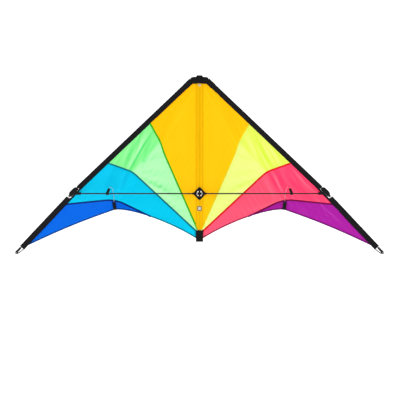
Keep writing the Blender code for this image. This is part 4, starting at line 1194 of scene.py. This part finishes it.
def make_sleeve(word, part, span, inwards, material, thread):
    """A leading-edge sleeve with soft rumples along it and a sewn inner edge."""
    side = SIDES[word]
    dice = random.Random(f"{word}{part}")
    waves = [(dice.uniform(18, 95), dice.uniform(0, 6.28), dice.uniform(0.2, 1.0)) for wave in range(7)]
    count = max(8, round((span[1] - span[0]) / 0.0032))
    rings = []
    for k in range(count + 1):
        along = span[0] + (span[1] - span[0]) * k / count
        rumple = sum(size * math.sin(along * rate * 2 + start) for rate, start, size in waves) / 7
        drawn = 1.0 + 0.10 * rumple
        ring = sleeve_section(along, side, inwards, drawn)
        centre = beside_rod(along, 1.5e-3, 0, side)
        nudge = 0.00022 * math.sin(along * 2 * math.pi / 0.011 + 2 * rumple)
        points = []
        for i, point in enumerate(ring):
            away = point - centre
            fine = nudge * math.sin(i * 0.9 + along * 140)
            points.append(point + away.normalized() * fine)
        rings.append(points)
    name = f"sleeve_{part}_cloth_{word}"
    mesh = hollow_mesh(name, rings, SLEEVE_WALL)
    piece = new_object(name, mesh, material)
    fit(piece, f"wing_{word}", f"sleeve_{part}_{word}")
    pairs = []
    for inset in (0.0022, 0.0040):
        start = span[0] + 0.004
        while start + STITCH < span[1] - 0.003:
            for depth in (-0.00085, 0.00085):
                a = beside_rod(start, inwards - inset, depth, side)
                b = beside_rod(start + STITCH, inwards - inset, depth, side)
                pairs.append((a, b, Vector((0, math.copysign(1, depth), 0))))
            start += STITCH_PITCH
    name = f"sleeve_{part}_stitches_{word}"
    stitches = new_object(name, stitches_mesh(name, pairs), thread)
    fit(stitches, f"wing_{word}")


def hem_ends(rings):
    """Turns each end of a swept cloth tube in, as a folded edge does."""
    def drawn_in(ring, share):
        centre = sum(ring, Vector()) / len(ring)
        return [centre.lerp(p, share) for p in ring]

    first, last = rings[0], rings[-1]
    return [drawn_in(first, 0.90), *rings, drawn_in(last, 0.90)]


def make_band(word, material):
    """The sleeve's inner edge where it runs on past the connector, with its near and far edges."""
    side = SIDES[word]
    rings = []
    start, end = UPPER_SLEEVE[1] - 0.002, LOWER_SLEEVE[0] + 0.002
    stop_end = CONNECTOR_END + 0.0052
    for k in range(31):
        along = start + (end - start) * k / 30
        near = 0.0066 - 0.0028 * min(max((along - stop_end) / 0.0012, 0.0), 1.0)
        near -= 0.0022 * min(max((CONNECTOR_START - 0.0002 - along) / 0.0012, 0.0), 1.0)
        near += 0.0003 * math.sin(along * 300)
        far = SLEEVE_IN_UPPER + (SLEEVE_IN_LOWER - SLEEVE_IN_UPPER) * k / 30
        corners = ((near, -0.0005), (near + 0.0004, -0.0008), (far - 0.0004, -0.0008), (far, -0.0005))
        corners += tuple((inward, -depth) for inward, depth in reversed(corners))
        rings.append([tuple(beside_rod(along, inward, depth, side)) for inward, depth in corners])
    name = f"sleeve_band_cloth_{word}"
    piece = new_object(name, sweep_mesh(name, rings), material)
    fit(piece, f"wing_{word}", f"sleeve_band_{word}")


def make_nose_strip(word, material, thread):
    """The webbing that binds the sleeve's upper end, with two rows of stitches across it."""
    side = SIDES[word]
    rings = []
    for k in range(17):
        along = NOSE_STRIP[0] + (NOSE_STRIP[1] - NOSE_STRIP[0]) * k / 16
        rings.append(sleeve_section(along, side, SLEEVE_IN_UPPER, 1.05, 0.0007))
    rings = hem_ends(rings)
    name = f"nose_binding_{word}"
    piece = new_object(name, sweep_mesh(name, [[tuple(p) for p in ring] for ring in rings]), material)
    fit(piece, f"wing_{word}", f"nose_strip_{word}")
    pairs = []
    for along in (NOSE_STRIP[1] - 0.0022, NOSE_STRIP[1] - 0.0060):
        for i in range(5):
            inward = -0.0045 + 0.0030 * i
            depth = -SLEEVE_HALF_DEPTH - 0.0008 if inward < 0.002 else -0.0030 + 0.0004 * i
            a = beside_rod(along, inward, depth, side)
            b = beside_rod(along, inward + 0.0021, depth, side)
            pairs.append((a, b, Vector((0, -1, 0))))
    name = f"nose_binding_stitches_{word}"
    stitches = new_object(name, stitches_mesh(name, pairs, 0.00026), thread)
    fit(stitches, f"wing_{word}")


def make_rod(name, points, radius, body, node, material, sides=28):
    piece = new_object(name, tube_mesh(name, points, radius, sides), material)
    fit(piece, body, node)


def make_rods(word, materials):
    """The leading-edge rod and the spreader."""
    side = SIDES[word]
    count = 90
    edge = [beside_rod(ROD_START + (ROD_END - ROD_START) * i / count, 0, 0, side) for i in range(count + 1)]
    name, node = f"edge_rod_fine_{word}", f"edge_rod_{word}"
    make_rod(name, edge, ROD_RADIUS, f"wing_{word}", node, materials["pale_rod"])
    inner = Vector((side * (ARM_AXIS.x + 0.0065), SPREADER_Y, 0))
    outer = Vector((side * SPREADER_END_X, SPREADER_Y, 0))
    line = [inner.lerp(outer, i / 40) for i in range(41)]
    name, node = f"spreader_fine_{word}", f"spreader_{word}"
    make_rod(name, line, SPREADER_RADIUS, node, node, materials["dark_rod"])


# The whisker's route: X, Z and how far in front of the sail.
WHISKER_ROUTE = (
    (0.3222, 0.0150, 0.0500),
    (0.3206, 0.0185, 0.0455),
    (0.3175, 0.0222, 0.0385),
    (0.3133, 0.0228, 0.0290),
    (0.3092, 0.0168, 0.0200),
    (0.3064, 0.0066, 0.0135),
    (0.3048, -0.0060, 0.0090),
    (0.3040, -0.0210, 0.0058),
    (0.3030, -0.0365, 0.0043),
    (0.3020, -0.0500, 0.0043),
)


def make_whisker(word, materials):
    side = SIDES[word]
    points = []
    for x, z, in_front in WHISKER_ROUTE:
        points.append(Vector((side * x, SAIL_Y + depth_at(x, z) - in_front, z)))
    route = smooth_route(points, 8)
    name, body, node = f"whisker_fine_{word}", f"standoff_{word}", f"whisker_{word}"
    make_rod(name, route, WHISKER_RADIUS, body, node, materials["whisker"], sides=16)


def make_tip_loop(word, material):
    """The elastic: out along the front of the nock, over its end and back behind it."""
    side = SIDES[word]
    half = (
        (LOWER_SLEEVE[1] - 0.0010, 0.0106, 0.0012),
        (LOWER_SLEEVE[1] + 0.0060, 0.0102, 0.0020),
        (NOCK[0] + 0.0120, 0.0092, 0.0030),
        (NOCK[0] + 0.0195, 0.0076, 0.0037),
        (NOCK[0] + 0.0245, 0.0056, 0.0042),
        (NOCK[1] - 0.0006, 0.0022, 0.0034),
    )
    near = [beside_rod(s, inward, -depth, side) for s, inward, depth in half]
    far = [beside_rod(s, inward, depth, side) for s, inward, depth in reversed(half)]
    route = smooth_route([*near, beside_rod(NOCK[1] - 0.0004, 0.0, 0.0, side), *far], 7)
    name, node = f"tip_loop_fine_{word}", f"tip_loop_{word}"
    make_rod(name, route, TIP_LOOP_RADIUS, f"wing_{word}", node, material, sides=14)


# Kept nodes: name, finish and the width of their rounded edges.
MIDDLE_FITTINGS = (
    ("centre_tee", "moulded", 0.0004),
    ("nose_webbing", "webbing", 0.0005),
    ("nose_tab", "webbing", 0.0004),
    ("nose_eyelet", "eyelet", 0.0003),
    ("badge", "badge", 0.00012),
    ("tail_tab", "webbing", 0.0004),
    ("tail_flap", "webbing", 0.0004),
    ("spine_cap", "rubber", 0.0006),
)
WING_FITTINGS = (
    ("connector", "moulded", 0.0005),
    ("nock", "moulded", 0.0003),
    ("tee_arm", "rubber", 0.0006),
    ("clip", "moulded", 0.0004),
    ("whisker_cap", "rubber", 0.0003),
    ("stop_upper", "rubber", 0.0005),
    ("stop_lower", "rubber", 0.0005),
)


def refine(node, material, width):
    """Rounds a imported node's edges a little and gives it its material."""
    made = NODES[node]
    made.data.materials.clear()
    made.data.materials.append(material)
    weld_points = made.modifiers.new("weld", "WELD")
    weld_points.merge_threshold = 0.00001
    rounded = made.modifiers.new("round", "BEVEL")
    rounded.width = width
    rounded.segments = 2
    rounded.limit_method = "ANGLE"
    rounded.angle_limit = math.radians(32)
    rounded.use_clamp_overlap = True
    rounded.harden_normals = False
    made.data.polygons.foreach_set("use_smooth", [True] * len(made.data.polygons))
    made.modifiers.new("shading", "WEIGHTED_NORMAL").keep_sharp = True


def plate_stitches(name, lines, y, thread):
    """Stitches on flat webbing that faces the flyer, along straight lines in X and Z."""
    pairs = []
    for start, end in lines:
        line = np.array([start, end])
        lead = Vector((end[0] - start[0], end[1] - start[1])).normalized() * 0.00095
        for x, z in even_places(line, 0.0026):
            a = Vector((x - lead.x, y, z - lead.y))
            b = Vector((x + lead.x, y, z + lead.y))
            pairs.append((a, b, Vector((0, -1, 0))))
    fit(new_object(name, stitches_mesh(name, pairs, 0.00024), thread), "frame")


def make_fittings(materials):
    """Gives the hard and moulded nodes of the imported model, which are kept, their finish."""
    for node, finish, width in MIDDLE_FITTINGS:
        refine(node, materials[finish], width)
    for word in SIDES:
        for node, finish, width in WING_FITTINGS:
            refine(f"{node}_{word}", materials[finish], width)


def make_pocket(word, material, thread):
    """A flattened tube sewn on the trailing edge, open above."""
    side = SIDES[word]
    steps = 12
    outer, inner = [], []
    for k in range(steps + 1):
        t = k / steps
        x, z = POCKET_TOP.lerp(POCKET_BOTTOM, t)
        flattened = min(max((t - 0.72) / 0.28, 0.0), 1.0) ** 1.5
        half_depth = POCKET_HALF_DEPTH - 0.0018 * flattened
        half_width = POCKET_HALF_WIDTH + 0.0003 * math.sin(9 * t) - 0.0004 * flattened
        surface = SAIL_Y + depth_at(x, z)
        middle = Vector((side * x, surface - 0.0011 - half_depth, z))
        for rings, wall in ((outer, 0.0), (inner, 0.00055)):
            ring = []
            for i in range(36):
                turn = 2 * math.pi * i / 36
                squared = abs(math.cos(turn)) ** 0.8 * math.copysign(1, math.cos(turn))
                point = Vector(((half_width - wall) * squared, (half_depth - wall) * math.sin(turn), 0))
                ring.append(tuple(middle + point))
            rings.append(ring)
    inner[-1] = [(x, y, z + 0.0008) for x, y, z in inner[-1]]
    mesh = sweep_mesh(f"pocket_cloth_{word}", inner[::-1] + outer)
    piece = new_object(f"pocket_cloth_{word}", mesh, material)
    follow_fan(piece, rigid=True)
    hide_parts(f"pocket_{word}")
    pairs = []
    for place in (0.10, 0.82, 0.90):
        x, z = POCKET_TOP.lerp(POCKET_BOTTOM, place)
        surface = SAIL_Y + depth_at(x, z)
        share, shift = (1.0, 0.0) if place < 0.5 else (0.62, 0.0008)
        for i in range(4):
            across = -0.0036 + 0.0024 * i
            bulge = POCKET_HALF_DEPTH * math.sqrt(1 - (across / 0.0062) ** 2)
            y = surface - 0.0011 - POCKET_HALF_DEPTH - bulge * share + shift
            start = Vector((side * x + across - 0.0009, y, z))
            pairs.append((start, start + Vector((0.0018, 0, 0)), Vector((0, -1, 0))))
    name = f"pocket_stitches_{word}"
    stitches = new_object(name, stitches_mesh(name, pairs), thread)
    follow_fan(stitches, rigid=True)


def badge_material(name, paper, border):
    """A plain label: a pale middle inside a darker border, slightly scuffed."""
    graph = Graph(name)
    graph.base(paper, 0.55, specular=0.2)
    source = graph.add("ShaderNodeTexCoord").outputs["Object"]
    parts = graph.add("ShaderNodeSeparateXYZ")
    graph.join(source, parts.inputs[0])
    across = graph.math("ABSOLUTE", parts.outputs["X"])
    up = graph.math("ABSOLUTE", graph.math("SUBTRACT", parts.outputs["Z"], BADGE_AT))
    off = graph.math("MAXIMUM", across, up)
    past = graph.math("DIVIDE", graph.math("SUBTRACT", off, 0.0050), 0.0004)
    outside = graph.math("MINIMUM", graph.math("MAXIMUM", past, 0.0), 1.0)
    scuffs = graph.noise(source, 420.0, 4.0)
    tone = graph.mix(outside, paper, border)
    tone = graph.mix(graph.math("MULTIPLY", scuffs, 0.3), tone, shade(border, 1.2))
    graph.join(tone, graph.shader.inputs["Base Color"])
    rough = graph.math("ADD", 0.45, graph.math("MULTIPLY", scuffs, 0.2))
    graph.join(rough, graph.shader.inputs["Roughness"])
    graph.join(graph.bump(scuffs, 0.00005, 0.4), graph.shader.inputs["Normal"])
    return graph.material


def make_materials():
    made = {}
    for word in SIDES:
        for number, name in enumerate(CLOTH_SLOTS[word]):
            colour = CLOTH_COLOURS[name][0]
            made[name] = cloth_material(name, colour, CLOTH_COLOURS[name][1:])
            folded = shade(colour, 0.34)
            made[f"hem_{name}"] = cloth_material(f"hem_{name}", folded, glow=0.06, lines=0.05)
        for number, colour in enumerate(SEAM_COLOURS[word]):
            made[f"seam_{number}_{word}"] = cloth_material(f"seam_{number}_{word}", colour, glow=0.10)
            made[f"thread_{number}_{word}"] = thread_material(f"thread_{number}_{word}", shade(colour, 0.8))
        tip_colour = CLOTH_COLOURS[CLOTH_SLOTS[word][3]][0]
        made[f"hem_thread_{word}"] = thread_material(f"hem_thread_{word}", shade(tip_colour, 0.4))
    made["band"] = cloth_material("band", (1.0, 0.62, 0.001), glow=0.30, line_at=STRIP_LINE_AT)
    made["band_thread"] = thread_material("band_thread", (0.80, 0.36, 0.002))
    dark = (0.0065, 0.0060, 0.0075)
    made["sleeve"] = cloth_material("sleeve", dark, glow=0.0, roughness=0.66, lines=0.3, specular=0.10)
    made["webbing"] = webbing_material("webbing", (0.0050, 0.0050, 0.0058))
    made["webbing_uv"] = webbing_material("webbing_uv", (0.0050, 0.0050, 0.0058), uses_uv=True)
    made["black_thread"] = thread_material("black_thread", (0.016, 0.016, 0.018))
    made["moulded"] = plastic_material("moulded", (0.0050, 0.0050, 0.0060))
    made["rubber"] = plastic_material("rubber", (0.0060, 0.0060, 0.0066), 0.62, 0.12)
    made["eyelet"] = plastic_material("eyelet", (0.50, 0.50, 0.50), 0.35)
    made["badge"] = badge_material("badge", (0.60, 0.58, 0.48), (0.16, 0.13, 0.10))
    made["pale_rod"] = rod_material("pale_rod", (0.58, 0.59, 0.58))
    made["whisker"] = rod_material("whisker", (0.46, 0.50, 0.48), 0.34, 0.80, coat=0.1, specular=0.3)
    made["dark_rod"] = rod_material("dark_rod", (0.010, 0.010, 0.012), 0.40, coat=0.08, specular=0.2)
    made["elastic"] = webbing_material("elastic", (0.0050, 0.0050, 0.0055), uses_uv=True, rib=0.0009)
    return made


def stitch_webbing(thread):
    """The stitches on the nose webbing, on its tab and on the tail tab, just in front of their faces."""
    lines = [((-0.0310, 0.4040), (-0.0235, 0.3900)), ((0.0310, 0.4040), (0.0235, 0.3900))]
    lines += [((-0.0225, 0.3903), (-0.0105, 0.3914)), ((0.0225, 0.3903), (0.0105, 0.3914))]
    plate_stitches("nose_stitches", lines, SAIL_Y - NOSE_FRONT - 0.00005, thread)
    lines = [((x, 0.3925), (x, 0.4165)) for x in (-0.0085, -0.0030, 0.0030, 0.0085)]
    plate_stitches("nose_tab_stitches", lines, SAIL_Y - NOSE_TAB_FRONT - 0.00005, thread)
    box = ((-0.0108, -0.1320), (0.0108, -0.1320), (0.0108, -0.1440), (-0.0108, -0.1440))
    lines = [(box[i], box[(i + 1) % 4]) for i in range(4)] + [(box[0], box[2]), (box[1], box[3])]
    plate_stitches("tail_stitches", lines, SAIL_Y - TAIL_FRONT - 0.00005, thread)


def build():
    make_camera()
    make_stage()
    materials = make_materials()
    make_centre_strip(materials["band"], materials["band_thread"])
    make_centre_patch(materials["webbing_uv"], materials["black_thread"])
    cloth, tape, thread = materials["sleeve"], materials["webbing_uv"], materials["black_thread"]
    for word in SIDES:
        for number in range(4):
            make_panel(word, number, materials)
        for number in range(3):
            seam, seam_thread = materials[f"seam_{number}_{word}"], materials[f"thread_{number}_{word}"]
            make_seam(word, number, seam, seam_thread)
        make_hem(word, materials, materials[f"hem_thread_{word}"])
        make_sleeve(word, "upper", UPPER_SLEEVE, SLEEVE_IN_UPPER, cloth, thread)
        make_sleeve(word, "lower", LOWER_SLEEVE, SLEEVE_IN_LOWER, cloth, thread)
        make_band(word, cloth)
        make_nose_strip(word, tape, thread)
        make_rods(word, materials)
        make_whisker(word, materials)
        make_tip_loop(word, materials["elastic"])
        make_pocket(word, tape, thread)
    spine = [Vector((0, SPINE_Y, -0.166 + 0.575 * i / 30)) for i in range(31)]
    make_rod("spine_fine", spine, ROD_RADIUS, "frame", "spine", materials["dark_rod"])
    make_fittings(materials)
    stitch_webbing(thread)


build()
